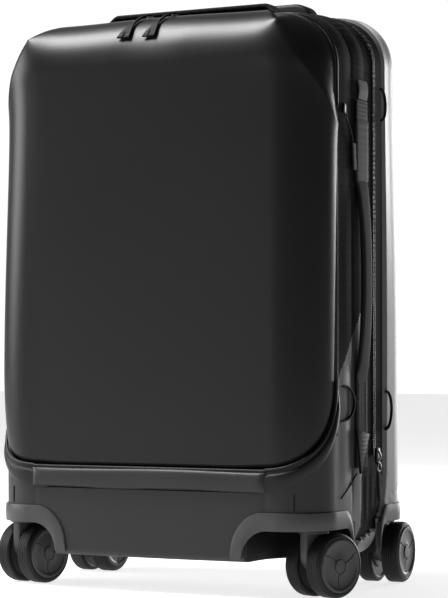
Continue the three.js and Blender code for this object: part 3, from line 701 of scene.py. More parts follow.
def panel_edge(count):
    """The pocket panel's boundary, flattened, from the middle of its foot round to there again."""
    core_z = CORE_TOP - CORE_ROUND
    foot_x = np.linspace(0, CORE_X + PANEL_CORNER["t"], 40)[:-1]
    foot = [(x, PANEL_FOOT + PANEL_FOOT_RISE * ease(x, 90, 121)) for x in foot_x]
    lower = [(CORE_X + t, z) for t, z in corner_curve(PANEL_CORNER, steps=40)]
    side_z = np.linspace(PANEL_CORNER["z"], core_z, 60)[1:]
    upright = [(CORE_X + float(np.interp(z, PANEL_SIDE["z"], PANEL_SIDE["t"])), z) for z in side_z]
    shoulder = arc(CORE_X - CORE_ROUND, core_z, PANEL_REACH, PANEL_REACH, 0, 90, 40)[1:]
    top = [(x, core_z + PANEL_REACH) for x in np.linspace(CORE_X - CORE_ROUND, 0, 40)[1:]]
    half = np.array(foot + lower + upright + shoulder.tolist() + top)
    closed = np.vstack([half, half[::-1][1:-1] * (-1, 1), half[:1]])
    return resample(closed, count + 1)[:-1]


def along(path):
    """The distance from a path's start to each of its points."""
    return np.concatenate([[0], np.cumsum(np.linalg.norm(np.diff(path, axis=0), axis=1))])


def resample(path, count):
    """The same path with a number of evenly spaced points."""
    path = np.asarray(path, float)
    at = along(path)
    wanted = np.linspace(0, at[-1], count)
    return np.stack([np.interp(wanted, at, path[:, k]) for k in range(path.shape[1])], axis=1)


def even(path, step):
    """The same path with points an even step apart."""
    path = np.asarray(path, float)
    return resample(path, max(3, int(along(path)[-1] / step)))


def line_distance(points, start, end):
    """Distance from a segment, which side of it, and how far along, for points mirrored to the right."""
    p = np.stack([np.abs(points[:, 0]), points[:, 1]], axis=1) - start
    way = np.array(end) - start
    share = np.clip(p @ way / (way @ way), 0, 1)
    off = p - share[:, None] * way
    return np.hypot(off[:, 0], off[:, 1]), way[0] * p[:, 1] - way[1] * p[:, 0], share


PILLOW = {
    "stand": 4.2, "crest": 1.8, "crest_width": 20.0, "peak": 5.5, "peak_width": 22.0,
    "fold": 2.6, "fold_width": 10.0, "facet": 1.2, "facet_fall": 2.2, "facet_width": 16.0,
    "groove": 1.1, "groove_width": 1.2, "wave": 0.7,
}
CREST_START = (40.0, 509.0)


def pillow(flat, share):
    """How far the panel stands off its form; share runs from 0 in the middle to 1 at its edge."""
    across, up = np.abs(flat[:, 0]), flat[:, 1]
    face = PILLOW["stand"] * (1 - share ** 6)
    crest, _, _ = line_distance(flat, np.array(CREST_START), PEAK)
    face += PILLOW["crest"] * bell(crest, PILLOW["crest_width"]) * (1 - share ** 8)
    peak = np.hypot(across - PEAK[0], up - PEAK[1])
    face += PILLOW["peak"] * np.exp(-peak / PILLOW["peak_width"])
    seam, side, down = line_distance(flat, np.array(PEAK), SEAM_FOOT)
    outside = (side > 0) & (up > SEAM_FOOT[1])
    fold = PILLOW["fold"] * np.exp(-seam / PILLOW["fold_width"]) * (1 - 0.5 * down)
    facet = -PILLOW["facet"] - PILLOW["facet_fall"] * ease(seam, 0, PILLOW["facet_width"]) * (1 - 0.6 * down)
    ridge = np.where(outside, fold + facet * ease(seam, 0.0, 3.0), fold)
    groove = PILLOW["groove"] * bell(seam, PILLOW["groove_width"]) * (down > 0.02)
    wave = PILLOW["wave"] * np.sin(flat[:, 0] / 57 + 0.6) * np.sin(up / 83 + 1.1)
    crown = TOP_PUFF * ease(up, 490, 535) * bell(flat[:, 0], PUFF_HALF)
    lean = LEFT_LEAN * (ease(up, 180, 470) - 0.35) * ease(-flat[:, 0], 110, 165) * (1 - share ** 8)
    return face + ridge - groove + wave * (1 - share ** 3) + crown - lean


PANEL_MESH = {"around": 640, "wide_rings": 50, "edge_rings": 80, "matt": (5, 4)}
PANEL_THICK, PANEL_ROLL = 3.4, 3.6


def pocket_panel():
    around, rings = PANEL_MESH["around"], PANEL_MESH["wide_rings"] + PANEL_MESH["edge_rings"]
    edge = panel_edge(around)
    middle = np.array([0.0, PANEL_MIDDLE])
    wide = np.linspace(0.02, 0.6, PANEL_MESH["wide_rings"])
    shares = np.concatenate([wide, np.linspace(0.605, 1.0, PANEL_MESH["edge_rings"])])
    outer, inner = [], []
    for share in shares:
        flat = middle + (edge - middle) * share
        standing = pillow(flat, np.full(around, share)) - PANEL_ROLL * ease(share, 0.985, 1.0)
        outer.append(wrap(flat, standing))
        inner.append(wrap(flat, standing - PANEL_THICK * (1 - ease(share, 0.99, 1.0)) - GAP))
    layers = [*inner, *outer[::-1]]
    faces = loft_faces(len(layers), around)
    last = (len(layers) - 1) * around
    points = np.vstack([*layers, layers[0].mean(axis=0), layers[-1].mean(axis=0)])
    for k in range(around):
        n = (k + 1) % around
        faces += [(k, n, len(points) - 2), (last + k, last + n, len(points) - 1)]
    # the last few layers roll in under the zipper's matt edge
    before, after = PANEL_MESH["matt"]
    slots = np.zeros(len(faces), dtype=int)
    slots[(rings - before) * around:(rings + after) * around] = 1
    made = new_piece("pocket_panel", points, faces, [PANEL, BAND], slots, sharp=60)
    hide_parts("front_pocket_panel", "pocket_flap")
    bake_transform(made)


# ---------- The pocket's rim and piping ----------

def lay(name, flat, out, thick, material):
    """A closed shell laid over the rounded front, from flat points and how far each stands out."""
    grid = (*out.shape, 3)
    outer = wrap(flat.reshape(-1, 2), out.reshape(-1)).reshape(grid)
    inner = wrap(flat.reshape(-1, 2), out.reshape(-1) - thick).reshape(grid)
    return shell_between(name, outer, inner, material)


def shell_between(name, outer, inner, material, sharp=50):
    rows, across = outer.shape[:2]
    half = rows * across
    index = np.arange(half).reshape(rows, across)
    faces = []
    for r in range(rows - 1):
        for c in range(across - 1):
            a, b, d, e = index[r, c], index[r, c + 1], index[r + 1, c + 1], index[r + 1, c]
            faces += [(a, b, d, e), (a + half, e + half, d + half, b + half)]
    edge = [*index[0, :], *index[1:, -1], *index[-1, -2::-1], *index[-2:0:-1, 0]]
    for k, a in enumerate(edge):
        b = edge[(k + 1) % len(edge)]
        faces.append((a, a + half, b + half, b))
    points = np.concatenate([outer.reshape(-1, 3), inner.reshape(-1, 3)])
    return new_piece(name, points, faces, material, sharp=sharp)


def tube(name, path, radius, material, sides=10, sharp=60):
    """A round bead along a path; radius may change along it."""
    path = np.asarray(path, float)
    radii = np.broadcast_to(radius, (len(path),))
    ahead = np.gradient(path, axis=0)
    ahead /= np.linalg.norm(ahead, axis=1, keepdims=True)
    side = np.cross(ahead[0], (0.13, 0.31, 0.94))
    rings = []
    for point, way, r in zip(path, ahead, radii):
        side = side - way * (side @ way)
        side /= np.linalg.norm(side)
        up = np.cross(way, side)
        angles = np.linspace(0, 2 * math.pi, sides, endpoint=False)
        rings.append(point + r * (np.outer(np.cos(angles), side) + np.outer(np.sin(angles), up)))
    return loft(name, rings, material, sharp=sharp)


RIM_BAND = {"inner_foot": 112.6, "outer_foot": 94.0, "reach": 76.5, "thick": 3.2, "roll": 2.6}


def rim_half(steps=120):
    """Matching inner and outer edges of the rim, from the middle of its foot up the right side."""
    inner_foot = np.linspace(0, CORE_X + PANEL_CORNER["t"], 60)[:-1]
    outer_foot = np.linspace(0, CORE_X + RIM_CORNER["t"], 60)[:-1]
    inner = [(x, RIM_BAND["inner_foot"]) for x in inner_foot]
    inner += [(CORE_X + t, z - 1.2) for t, z in corner_curve(PANEL_CORNER, steps=60)]
    outer = [(x, RIM_BAND["outer_foot"]) for x in outer_foot]
    outer += [(CORE_X + min(t, RIM_BAND["reach"]), z - 1.0) for t, z in corner_curve(RIM_CORNER, steps=60)]
    return resample(inner, steps), resample(outer, steps)


RIM_TAPER = 13  # how many of the rim's steps its ends narrow over


def pocket_rim():
    inner, outer = rim_half()
    mirrored = lambda points: np.vstack([points[::-1] * (-1, 1), points[1:]])
    inner, outer = mirrored(inner), mirrored(outer)
    across = np.linspace(0, 1, 16)
    step = np.arange(len(inner))
    fade = ease(np.minimum(step, step[::-1]), 0, RIM_TAPER)[:, None]
    flat = inner[:, None, :] + (outer - inner)[:, None, :] * (across * (0.3 + 0.7 * fade))[:, :, None]
    swollen = RIM_BAND["roll"] * np.sin(np.pi * across) ** 0.7
    roll = 1.1 + (swollen - 1.2 * bell(across - 0.2, 0.06)) * fade
    ripple = 0.25 * np.sin(step / 4.7)[:, None] * np.sin(np.pi * across)[None, :]
    made = lay("pocket_rim", flat, roll + ripple * fade, RIM_BAND["thick"], RIM)
    declare(made, "trim", "front_half", "front_pocket_rim")
    line = even(np.vstack([inner[:1], inner]), 2.0)
    bead = tube("rim_piping", wrap(line, np.full(len(line), 1.6)), 1.5, RIM)
    declare(bead, "trim", "front_half")


STRIP_BAND = {"half": 120.0, "low": 94.0, "high": 112.0, "lift": 2.6, "swell": 3.6, "thick": 3.0}


def grab_strip():
    x = np.linspace(-STRIP_BAND["half"], STRIP_BAND["half"], 110)[:, None]
    v = np.linspace(0, 1, 15)[None, :]
    low = STRIP_BAND["low"] + 0.7 * np.sin(x / 21)
    high = STRIP_BAND["high"] + 0.6 * np.sin(x / 33 + 1)
    grid = np.stack(np.broadcast_arrays(x, low + (high - low) * v), axis=2)
    ends = np.clip((STRIP_BAND["half"] - np.abs(x)) / 5, 0, 1) ** 0.5
    out = STRIP_BAND["lift"] + STRIP_BAND["swell"] * np.sin(np.pi * v) ** 0.55 * ends + 0.3 * np.sin(x / 17)
    made = lay("grab_strip", grid, out, STRIP_BAND["thick"], STRIP)
    declare(made, "panel", "front_half", "bottom_grab_strip")


# ---------- Corner guards and wheel housings ----------

GUARD = {
    "thick": 1.7, "stand": 0.1, "foot": 34.0, "foot_top": 37.0, "arch": 60.0, "top": 76.0,
    "start": -40.5, "leg": 11.0, "side_leg": 2.0, "front_rise": 32.0, "front_arch": 24.0,
    "reach": 39.0, "side_rise": 19.0, "side_arch": 14.0,
}


def climb(t, start, run, low, high):
    """A quarter ellipse that climbs from low at start to high, over a run."""
    share = min(max((t - start) / run, 0.0), 1.0)
    return low + (high - low) * math.sqrt(1 - (1 - share) ** 2)


def guard_edges(t, stop):
    """A guard's lower arch and its top edge, t along the plan."""
    foot, low = GUARD["foot"], GUARD["foot_top"]
    top = min(climb(t, GUARD["start"], GUARD["front_rise"], low, GUARD["top"]),
              climb(-t, -stop, GUARD["side_rise"], low, GUARD["top"]))
    arch = min(climb(t, GUARD["start"] + GUARD["leg"], GUARD["front_arch"], foot, GUARD["arch"]),
               climb(-t, GUARD["side_leg"] - stop, GUARD["side_arch"], foot, GUARD["arch"]))
    return min(arch, top - 1.0), top


def corner_guard(end, side, sign_x, sign_y):
    radius = (REAR_EDGE if end == "rear" else FRONT_EDGE)["side"]
    stop = radius * math.pi / 2 + GUARD["reach"]
    face = GUARD["stand"] + GUARD["thick"]
    rings = []
    for t in np.linspace(GUARD["start"], stop, 110):
        arch, top = guard_edges(t, stop)
        inner, outer, crown = (plan_point(t, out, radius) for out in (GUARD["stand"], face, face + 0.5))
        middle = arch + (top - arch) * 0.5
        section = [(inner, arch), (outer, arch), (crown, middle), (outer, top), (inner, top)]
        rings.append([(x * sign_x, y * sign_y, z) for (x, y), z in section])
    made = bevel(loft(f"{end}_guard_{side}", rings, GUARD_PLASTIC), 0.7)
    declare(made, "guard", f"{end}_half", f"{end}_corner_guard_{side}")


HOUSING_FOOT, HOUSING_ROOF = 33.0, 4.0
BORE_RADIUS, BORE_TOP = 7.3, 88.3


def wheel_housing(end, side, sign_x, sign_y):
    x, y = CASTER["x"] * sign_x, CASTER["y"] * sign_y
    radius = (REAR_EDGE if end == "rear" else FRONT_EDGE)["side"]
    ceiling = WELL_CEILING - HOUSING_ROOF
    outside = well_plan(WELL_RADIUS + WELL_WALL, sign_x, sign_y)
    walls = prism("housing", outside, 2, HOUSING_FOOT, WELL_CEILING, HOUSING)
    plan = rounded_rectangle(HALF_WIDTH - GAP, REAR_Y - GAP, radius - GAP, steps=14)
    made = carve(walls, [prism("plan", plan, 2, 0, FAR, None)], "INTERSECT")
    made = carve(made, [prism("space", well_plan(WELL_RADIUS, sign_x, sign_y), 2, -FAR, ceiling, None)])
    boss = prism("boss", circle_at(x, y, BOSS_RADIUS, 40), 2, ceiling, BOSS_TOP, HOUSING)
    made = carve(made, [boss], "UNION")
    made = carve(made, [prism("bore", circle_at(x, y, BORE_RADIUS, 40), 2, 0, BORE_TOP, None)])
    made.name = f"{end}_housing_{side}"
    declare(made, "housing", f"{end}_half", f"{end}_wheel_housing_{side}")


# ---------- Casters, drawn about the swivel axis with the wheels trailing along +X ----------

def turned(points, name):
    """Points of a caster's own frame, turned to its heading and moved to its corner."""
    heading = math.radians(HEADINGS[name][0])
    end, side = name.split("_")
    x = CASTER["x"] * (1 if side == "right" else -1)
    y = CASTER["y"] * (1 if end == "rear" else -1)
    points = np.asarray(points, float)
    made = points.copy()
    made[..., 0] = math.cos(heading) * points[..., 0] - math.sin(heading) * points[..., 1] + x
    made[..., 1] = math.sin(heading) * points[..., 0] + math.cos(heading) * points[..., 1] + y
    return made


DISH = {"start": 7.4, "run": 12.4, "out": 20.9, "depth": 0.5}
SPOKE = {"count": 3, "turn": 0.35, "bend": 0.16, "half": 0.5, "depth": 0.9}
TREAD_RIBS, TREAD_PITCH = 5, 2.2
WHEEL_STEPS = 240


def wheel_profile():
    """Radius and distance from the fork's middle, from the cap's centre round to the bore.

    Also gives where the spoked dish and the tyre start and stop in it.
    """
    cap = [(0.0, 21.9), (5.4, 21.7), (6.1, 21.1), (6.3, 20.2), (7.1, 20.2), (DISH["start"], DISH["out"])]
    dish = []
    for r in np.arange(8.0, 19.8, 0.6):
        hollow = math.sin(math.pi * (r - DISH["start"]) / DISH["run"])
        dish.append((r, DISH["out"] - DISH["depth"] * hollow))
    ring = [(20.0, 21.2), (20.8, 22.0), (21.8, 22.3), (23.1, 22.1), (23.8, 21.2), (24.0, 20.3)]
    shoulder = [(24.7, 20.9), (26.2, 20.8), (27.6, 19.8), (28.4, 18.4)]
    tread = []
    for k in range(TREAD_RIBS):
        y = 17.6 - TREAD_PITCH * k
        tread += [(28.6, y), (28.6, y - 1.5), (28.2, y - 1.7), (28.2, y - 2.0)]
    inner_shoulder = [(28.4, 6.5), (27.4, 5.6), (25.6, 5.2)]
    back = [(24.4, 5.5), (23.6, 6.6), (15.0, 6.8), (14.5, 5.5), (10.0, 5.5), (9.5, 6.8)]
    bore = [(3.3, 6.8), (3.3, 19.3), (0.0, 19.3)]
    profile = cap + dish + ring + shoulder + tread + inner_shoulder + back + bore
    spoked = (len(cap), len(cap) + len(dish) + 2)
    tyre = (len(cap) + len(dish) + len(ring), len(profile) - len(back) - len(bore))
    return profile, spoked, tyre


def spokes(angles, radius):
    """How deep the dish's bent spokes are pressed in at each angle."""
    depth = np.zeros(len(angles))
    for k in range(SPOKE["count"]):
        middle = k * 2 * math.pi / SPOKE["count"] + SPOKE["turn"]
        middle += SPOKE["bend"] * ((radius - DISH["start"]) / DISH["run"]) ** 2
        off = np.abs((angles - middle + math.pi) % (2 * math.pi) - math.pi) * radius
        depth += SPOKE["depth"] * (off < SPOKE["half"])
    return depth


def wheel(name, letter):
    side = 1.0 if letter == "a" else -1.0
    trail, centre_z = HEADINGS[name][1], CASTER["radius"]
    profile, spoked, tyre = wheel_profile()
    angles = np.linspace(0, 2 * math.pi, WHEEL_STEPS, endpoint=False)
    rings = []
    for k, (radius, out) in enumerate(profile):
        pressed = spokes(angles, radius) if spoked[0] <= k < spoked[1] else 0.0
        r = max(radius, 0.01)
        y = np.full(WHEEL_STEPS, out) - pressed
        ring = np.stack([trail + r * np.cos(angles), y * side, centre_z + r * np.sin(angles)], axis=1)
        rings.append(turned(ring, name))
    bands = [1 if tyre[0] <= k < tyre[1] else 0 for k in range(len(profile) - 1)]
    slots = list(np.repeat(bands, WHEEL_STEPS))
    made = loft(f"{name}_disc_{letter}", rings, [DISC, TREAD], slots, sharp=28)
    declare(made, "wheel", f"{name}_wheel_{letter}", f"{name}_wheel_{letter}")


FORK = {
    "crown_z": 59.9, "under_z": 57.4, "edge": 0.8, "leg_thick": 4.4, "leg_long": 12.6,
    "bend_z": 38.0, "foot": 9.5, "bore": 3.3, "bore_reach": 12.0, "spigot": (45.7, 80.0),
}


def fork_crown(name):
    """The round plate under the stem."""
    radius, top, edge = CASTER["crown"], FORK["crown_z"], FORK["edge"]
    rings = []
    for z, r in ((top, radius - edge), (top - edge, radius), (FORK["under_z"], radius)):
        rings.append(turned([(x, y, z) for x, y in circle_at(0, 0, r, 48)], name))
    return loft(f"{name}_fork", rings, CASTER_PLASTIC_PAINTED_LIGHT, sharp=50)


def fork_leg(name):
    """One leg between the wheels: upright in front, round under the axle, leaning back up to the crown."""
    trail, axle_z, long, foot = HEADINGS[name][1], CASTER["radius"], FORK["leg_long"], FORK["foot"]
    front = arc(trail, FORK["bend_z"], trail + long, FORK["bend_z"] - axle_z + foot, 180, 270, 20)
    under = arc(trail, axle_z, foot, foot, -90, 18, 14)[1:]
    top = [(long, FORK["under_z"] + 1), (-long, FORK["under_z"] + 1)]
    outline = [*front, *under, *top]
    thick = FORK["leg_thick"]
    rings = [turned([(x, y, z) for x, z in outline], name) for y in (-thick, thick)]
    return bevel(loft(f"{name}_leg", rings, CASTER_PLASTIC_PAINTED_LIGHT), 1.4, 3)


def caster_fork(name):
    """The crown and the leg in one, bored for the stem and the axle."""
    made = carve(fork_crown(name), [fork_leg(name)], "UNION", sharp=50)
    hole = circle_at(HEADINGS[name][1], CASTER["radius"], FORK["bore"], 24)
    across = [[(x, y, z) for x, z in hole] for y in (-FORK["bore_reach"], FORK["bore_reach"])]
    spigot = circle_at(0, 0, FORK["bore"], 24)
    upright = [[(x, y, z) for x, y in spigot] for z in FORK["spigot"]]
    cutters = [loft("hole", [turned(ring, name) for ring in cut], None) for cut in (across, upright)]
    made = carve(made, cutters, sharp=50)
    declare(made, "caster", f"{name}_caster", f"{name}_caster_fork")


# ---------- Handles and straps ----------

def strap(name, path, across, half_width, thick, material, out, power=0.45):
    """A strap along a path: across is its width's direction, and out the way it faces."""
    path = np.asarray(path, float)
    across, out = np.array(across, float), np.array(out, float)
    widths = np.broadcast_to(half_width, (len(path),))
    depths = np.broadcast_to(thick, (len(path),))
    ahead = np.gradient(path, axis=0)
    angles = np.linspace(0, 2 * math.pi, 28, endpoint=False)
    squared = lambda wave: np.sign(wave) * np.abs(wave) ** power
    ca, sa = squared(np.cos(angles)), squared(np.sin(angles))
    rings = []
    for point, way, w, d in zip(path, ahead, widths, depths):
        up = out - way * (out @ way) / (way @ way)
        up /= np.linalg.norm(up)
        rings.append(point + np.outer(ca, across) * w + np.outer(sa, up) * d / 2)
    return loft(name, rings, material, sharp=50)


STITCH = {
    "step": 0.25, "length": 2.2, "pitch": 3.6, "thick": 0.32, "tip": 0.12, "tip_at": 0.2, "full_at": 0.25,
}


def stitches(name, path, lift, material, body):
    """A row of short stitches along a path, each a small rounded bead."""
    line = even(path, STITCH["step"])
    pitch = int(round(STITCH["pitch"] / STITCH["step"]))
    span = int(round(STITCH["length"] / STITCH["step"]))
    up = np.array(lift, float)
    turn = np.arange(6) * math.pi / 3
    points, faces = [], []
    for first in range(0, len(line) - span, pitch):
        near, far = line[first], line[first + span]
        way = (far - near) / np.linalg.norm(far - near)
        side = np.cross(way, up)
        start = len(points)
        for at, reach in (
            (near - way * STITCH["tip_at"], STITCH["tip"]),
            (near + way * STITCH["full_at"], STITCH["thick"]),
            (far - way * STITCH["full_at"], STITCH["thick"]),
            (far + way * STITCH["tip_at"], STITCH["tip"]),
        ):
            points += [at + reach * (math.cos(a) * side + math.sin(a) * up) for a in turn]
        faces += loft_faces(4, 6, start=start)
        faces += [tuple(range(start, start + 6))[::-1], tuple(range(start + 18, start + 24))]
    declare(new_piece(name, points, faces, material, sharp=60), "trim", body)


RIGHT, UP, WIDE = (1, 0, 0), (0, 0, 1), (0, 1, 0)
SIDE_HANDLE = {
    "x": 169.4, "y": -13.0, "foot": 113.0, "head": 427.0, "bow_foot": 198.0, "bow_head": 372.0,
    "bow": 5.3, "half": 12.2, "waist": 3.2, "thick": 2.4, "padding": 2.8, "stitch_x": 170.8, "stitch_y": 7.5,
}
TOP_HANDLE = {
    "half_long": 93.0, "y": -17.0, "z": 531.2, "lift": 7.6,
    "half": 11.5, "waist": 1.0, "thick": 2.6, "padding": 2.2,
}


def side_handle():
    """A padded handle that bows out between its two flat, stitched ends."""
    h = SIDE_HANDLE
    z = np.linspace(h["foot"], h["head"], 150)
    share = np.clip((z - h["bow_foot"]) / (h["bow_head"] - h["bow_foot"]), 0, 1)
    bow = np.sin(np.pi * share) ** 0.6
    path = np.stack([h["x"] + h["bow"] * bow, np.full(len(z), h["y"]), z], axis=1)
    half, thick = h["half"] - h["waist"] * bow, h["thick"] + h["padding"] * bow
    made = strap("side_handle", path, WIDE, half, thick, WEBBING, RIGHT)
    declare(made, "webbing", "front_half", "side_grab_handle")
    for k, sign in enumerate((-1, 1)):
        y = h["y"] + sign * h["stitch_y"]
        for part, low, high in (("upper", 377, 424), ("lower", 118, 192)):
            line = [(h["stitch_x"], y, low), (h["stitch_x"], y, high)]
            stitches(f"side_handle_stitch_{part}_{k}", line, RIGHT, TAB, "front_half")


def top_handle():
    """A padded handle that rises a little from its two ends on the top."""
    h = TOP_HANDLE
    x = np.linspace(-h["half_long"], h["half_long"], 130)
    lift = ease(h["half_long"] - np.abs(x), 1, 15)
    path = np.stack([x, np.full(len(x), h["y"]), h["z"] + h["lift"] * lift], axis=1)
    half, thick = h["half"] - h["waist"] * lift, h["thick"] + h["padding"] * lift
    made = strap("top_handle", path, WIDE, half, thick, WEBBING, UP)
    declare(made, "webbing", "front_half", "top_grab_handle")


GEAR_LOOPS = {
    "rear_gear_loop_upper": {"body": "rear_half", "y": (36.0, 38.0), "z": (463.0, 434.0), "swell": 5.0},
    "rear_gear_loop_lower": {"body": "rear_half", "y": (48.0, 46.0), "z": (181.0, 146.0), "swell": 8.0},
    "front_gear_loop": {"body": "front_half", "y": (-52.0, -54.0), "z": (187.0, 156.0), "swell": 22.0},
}


def gear_loops():
    """Cords that leave the case, swell towards its back and return."""
    for node, loop in GEAR_LOOPS.items():
        turn = np.linspace(0, math.pi, 60)
        share = (1 - np.cos(turn)) / 2
        bulge = np.sin(turn) ** 0.8
        y = loop["y"][0] + (loop["y"][1] - loop["y"][0]) * share + loop["swell"] * bulge
        z = loop["z"][0] + (loop["z"][1] - loop["z"][0]) * share
        path = np.stack([HALF_WIDTH + 0.2 + 2.6 * bulge, y, z], axis=1)
        made = tube(node + "_cord", even(path, 0.8), 1.35, CORD, sides=12)
        declare(made, "webbing", loop["body"], node)


SLEEVES = {
    "side_sleeve": {"foot": 373.0, "head": 427.0, "half": 13.2, "thick": 3.6, "material": SLEEVE},
    "side_sleeve_band": {"foot": 427.5, "head": 446.5, "half": 12.4, "thick": 2.2, "material": CORD},
}


def side_sleeve():
    """The stitched sleeve over the side handle's upper end, and the dark band above it."""
    for name, sleeve in SLEEVES.items():
        rows = np.linspace(sleeve["foot"], sleeve["head"], 24)
        path = [(169.6, SIDE_HANDLE["y"], z) for z in rows]
        made = strap(name, path, WIDE, sleeve["half"], sleeve["thick"], sleeve["material"], RIGHT, power=0.3)
        declare(made, "webbing", "front_half")


# the flap's corners and the seam's bends as (y, z) on the right side
FLAP = [(-27.0, 147.0), (0.5, 143.0), (-19.0, 107.0)]
FLAP_SEAM = [(167.9, -19.0, 108.0), (168.0, -36.0, 97.0), (167.7, -54.0, 87.0)]


def handle_foot():
    """The three-cornered flap over the side handle's lower end, and the seam that runs on from it."""
    flap = bevel(prism("side_handle_flap", np.array(FLAP), 0, 169.6, 171.9, CORD), 0.6)
    declare(flap, "webbing", "front_half")
    declare(tube("side_seam", even(FLAP_SEAM, 1.5), 0.55, CORD), "trim", "front_half")


def base_seams():
    """The upright seams near the front's lower corners."""
    across, foot, head = CORE_X + 20.3, GUARD["top"] + 1.5, 93.0
    for side, sign in (("left", -1), ("right", 1)):
        flat = np.array([(sign * across, b) for b in np.linspace(foot, head, 12)])
        seam = tube(f"base_seam_{side}", wrap(flat, np.full(len(flat), 0.1)), 0.5, CORD)
        declare(seam, "trim", "front_half")


SIDE_SLIDER = {"x": HALF_WIDTH + 1.2, "y": -50.0, "z": 436.0, "tag_long": 25}


def side_pocket_slider():
    """The pocket zipper's end on the right side, with its cord and tag."""
    x, y, z = (SIDE_SLIDER[k] for k in "xyz")
    outline = rounded_rectangle(2.4, 4.4, 1.8, y, z)
    body = bevel(prism("side_slider", outline, 0, x - 0.6, x + 1.4, ZIP), 0.4)
    ring = hoop("side_slider_ring", (x + 1.6, y + 1.5, z - 6.5), 2.2, 0.5, 0, ZIP)
    hang = [(x + 1.6, y + 2, z - 9), (x + 1.9, y + 10, z - 18), (x + 1.7, y + 17, z - 30)]
    cord = tube("side_slider_cord", even(hang, 1.2), 0.8, CORD)
    tag_path = [(x + 1.6, y + 18 + 0.1 * k, z - 30 - k) for k in range(SIDE_SLIDER["tag_long"])]
    tag = strap("side_slider_tag", tag_path, WIDE, 3.4, 1.8, SLEEVE, RIGHT, power=0.4)
    for piece, slot in ((body, "zip"), (ring, "zip"), (cord, "webbing"), (tag, "webbing")):
        declare(piece, slot, "front_half")


def pocket_slit():
    """The short dark gap at the right of the pocket's zipper, on the top."""
    y, z = POCKET_BACK + 1.2, top_at(POCKET_BACK) + TOP_PUFF * 0.75
    line = even([(44.0, y, z), (64.0, y, z - 0.2), (85.0, y, z - 0.9)], 1.5)
    declare(tube("pocket_slit", line, 1.3, CORD), "zip", "front_half")


def side_tab():
    """The small light tab above the side handle."""
    path = [(169.0 + 1.3 * math.sin(math.pi * k / 10), -9.0, 448 + 1.7 * k) for k in range(11)]
    declare(strap("side_tab", path, WIDE, 9.5, 1.8, TAB, RIGHT), "webbing", "front_half")


# ---------- Zippers ----------

def zip_line(y, inset, low):
    """A path up one side, over the top and down the other, just proud of the body's form."""
    side, base, top = HALF_WIDTH - inset, BASE_Z + inset, top_at(y) - inset
    ring = outline_ring(y, side, base, top, TOP_CORNER - inset, BASE_CORNER)
    upper = ring[ring[:, 2] >= low]
    steps = np.linalg.norm(np.diff(np.vstack([upper, upper[:1]]), axis=0), axis=1)
    return np.roll(upper, -int(np.argmax(steps)) - 1, axis=0)


def coil(name, y, inset, low, body, radius=1.2):
    path = even(zip_line(y, inset, low), 0.9)
    teeth = radius * (1 + 0.28 * np.sin(np.arange(len(path)) * math.pi * 0.8))
    made = tube(name, path, teeth, ZIP, sides=8)
    declare(made, "zip", body)


COIL_OUT, COIL_INSET = 1.6, 2.2  # how far the two rows of teeth stand apart, and below the fabric


def zippers():
    coil("front_coil", SPLIT_Y - COIL_OUT, COIL_INSET, MAIN_SLIDER["z"], "front_half")
    coil("rear_coil", SPLIT_Y + COIL_OUT, COIL_INSET, MAIN_SLIDER["z"], "rear_half")
    coil("pocket_coil", POCKET_BACK + 1.0, 0.2, SIDE_SLIDER["z"] - 1, "front_half", 1.1)


def hoop(name, centre, radius, wire, axis, material, around=28, sides=8):
    """A closed ring of wire about an axis."""
    others = [k for k in range(3) if k != axis]
    points, faces = [], []
    for i in range(around):
        for j in range(sides):
            u, v = 2 * math.pi * i / around, 2 * math.pi * j / sides
            point = np.array(centre, float)
            point[others[0]] += (radius + wire * math.cos(v)) * math.cos(u)
            point[others[1]] += (radius + wire * math.cos(v)) * math.sin(u)
            point[axis] += wire * math.sin(v)
            points.append(point)
            a, b = i * sides, (i + 1) % around * sides
            n = (j + 1) % sides
            faces.append((a + j, b + j, b + n, a + n))
    return new_piece(name, points, faces, material, sharp=60)


MAIN_SLIDER = {
    "z": 122.0, "half_y": 4.0, "half_z": 7.5, "round": 2.6, "taper": 0.18, "back": 0.4, "front": 3.0,
}
MAIN_PULL = {
    "ring_z": 112.0, "ring": 3.9, "wire": 0.75, "top": 108.2, "steps": 25, "step": 1.15, "drift": 0.12,
}


def main_zip_slider():
    y, z = SPLIT_Y, MAIN_SLIDER["z"]
    back, front = HALF_WIDTH + MAIN_SLIDER["back"], HALF_WIDTH + MAIN_SLIDER["front"]
    outline = rounded_rectangle(MAIN_SLIDER["half_y"], MAIN_SLIDER["half_z"], MAIN_SLIDER["round"], y, z)
    outline[:, 0] -= (outline[:, 0] - y) * MAIN_SLIDER["taper"] * (outline[:, 1] < z)
    body = bevel(prism("main_slider_body", outline, 0, back, front, ZIP), 0.5)
    bridge = [(front + 2.0 * math.sin(math.pi * k / 12), y, z - 4.5 + 9 * k / 12) for k in range(13)]
    made = carve(body, [strap("main_slider_bridge", bridge, WIDE, 1.5, 1.3, ZIP, RIGHT)], "UNION")
    declare(made, "zip", "main_slider", "main_slider")


def main_zip_pull():
    """A wire ring, and a tab that hangs from it."""
    pull, y = MAIN_PULL, SPLIT_Y
    ring_at = (HALF_WIDTH + 3.6, y, pull["ring_z"])
    declare(hoop("main_pull_ring", ring_at, pull["ring"], pull["wire"], 0, STEEL), "zip", "main_pull")
    steps = np.arange(pull["steps"])
    path = [(HALF_WIDTH + 2.6, y + pull["drift"] * k, pull["top"] - pull["step"] * k) for k in steps]
    width = 1.9 + 1.3 * np.sin(np.linspace(0, math.pi, pull["steps"])) ** 0.5
    made = strap("main_pull_tab", path, WIDE, width, 2.4, WEBBING, RIGHT, power=0.6)
    declare(made, "webbing", "main_pull", "main_pull")


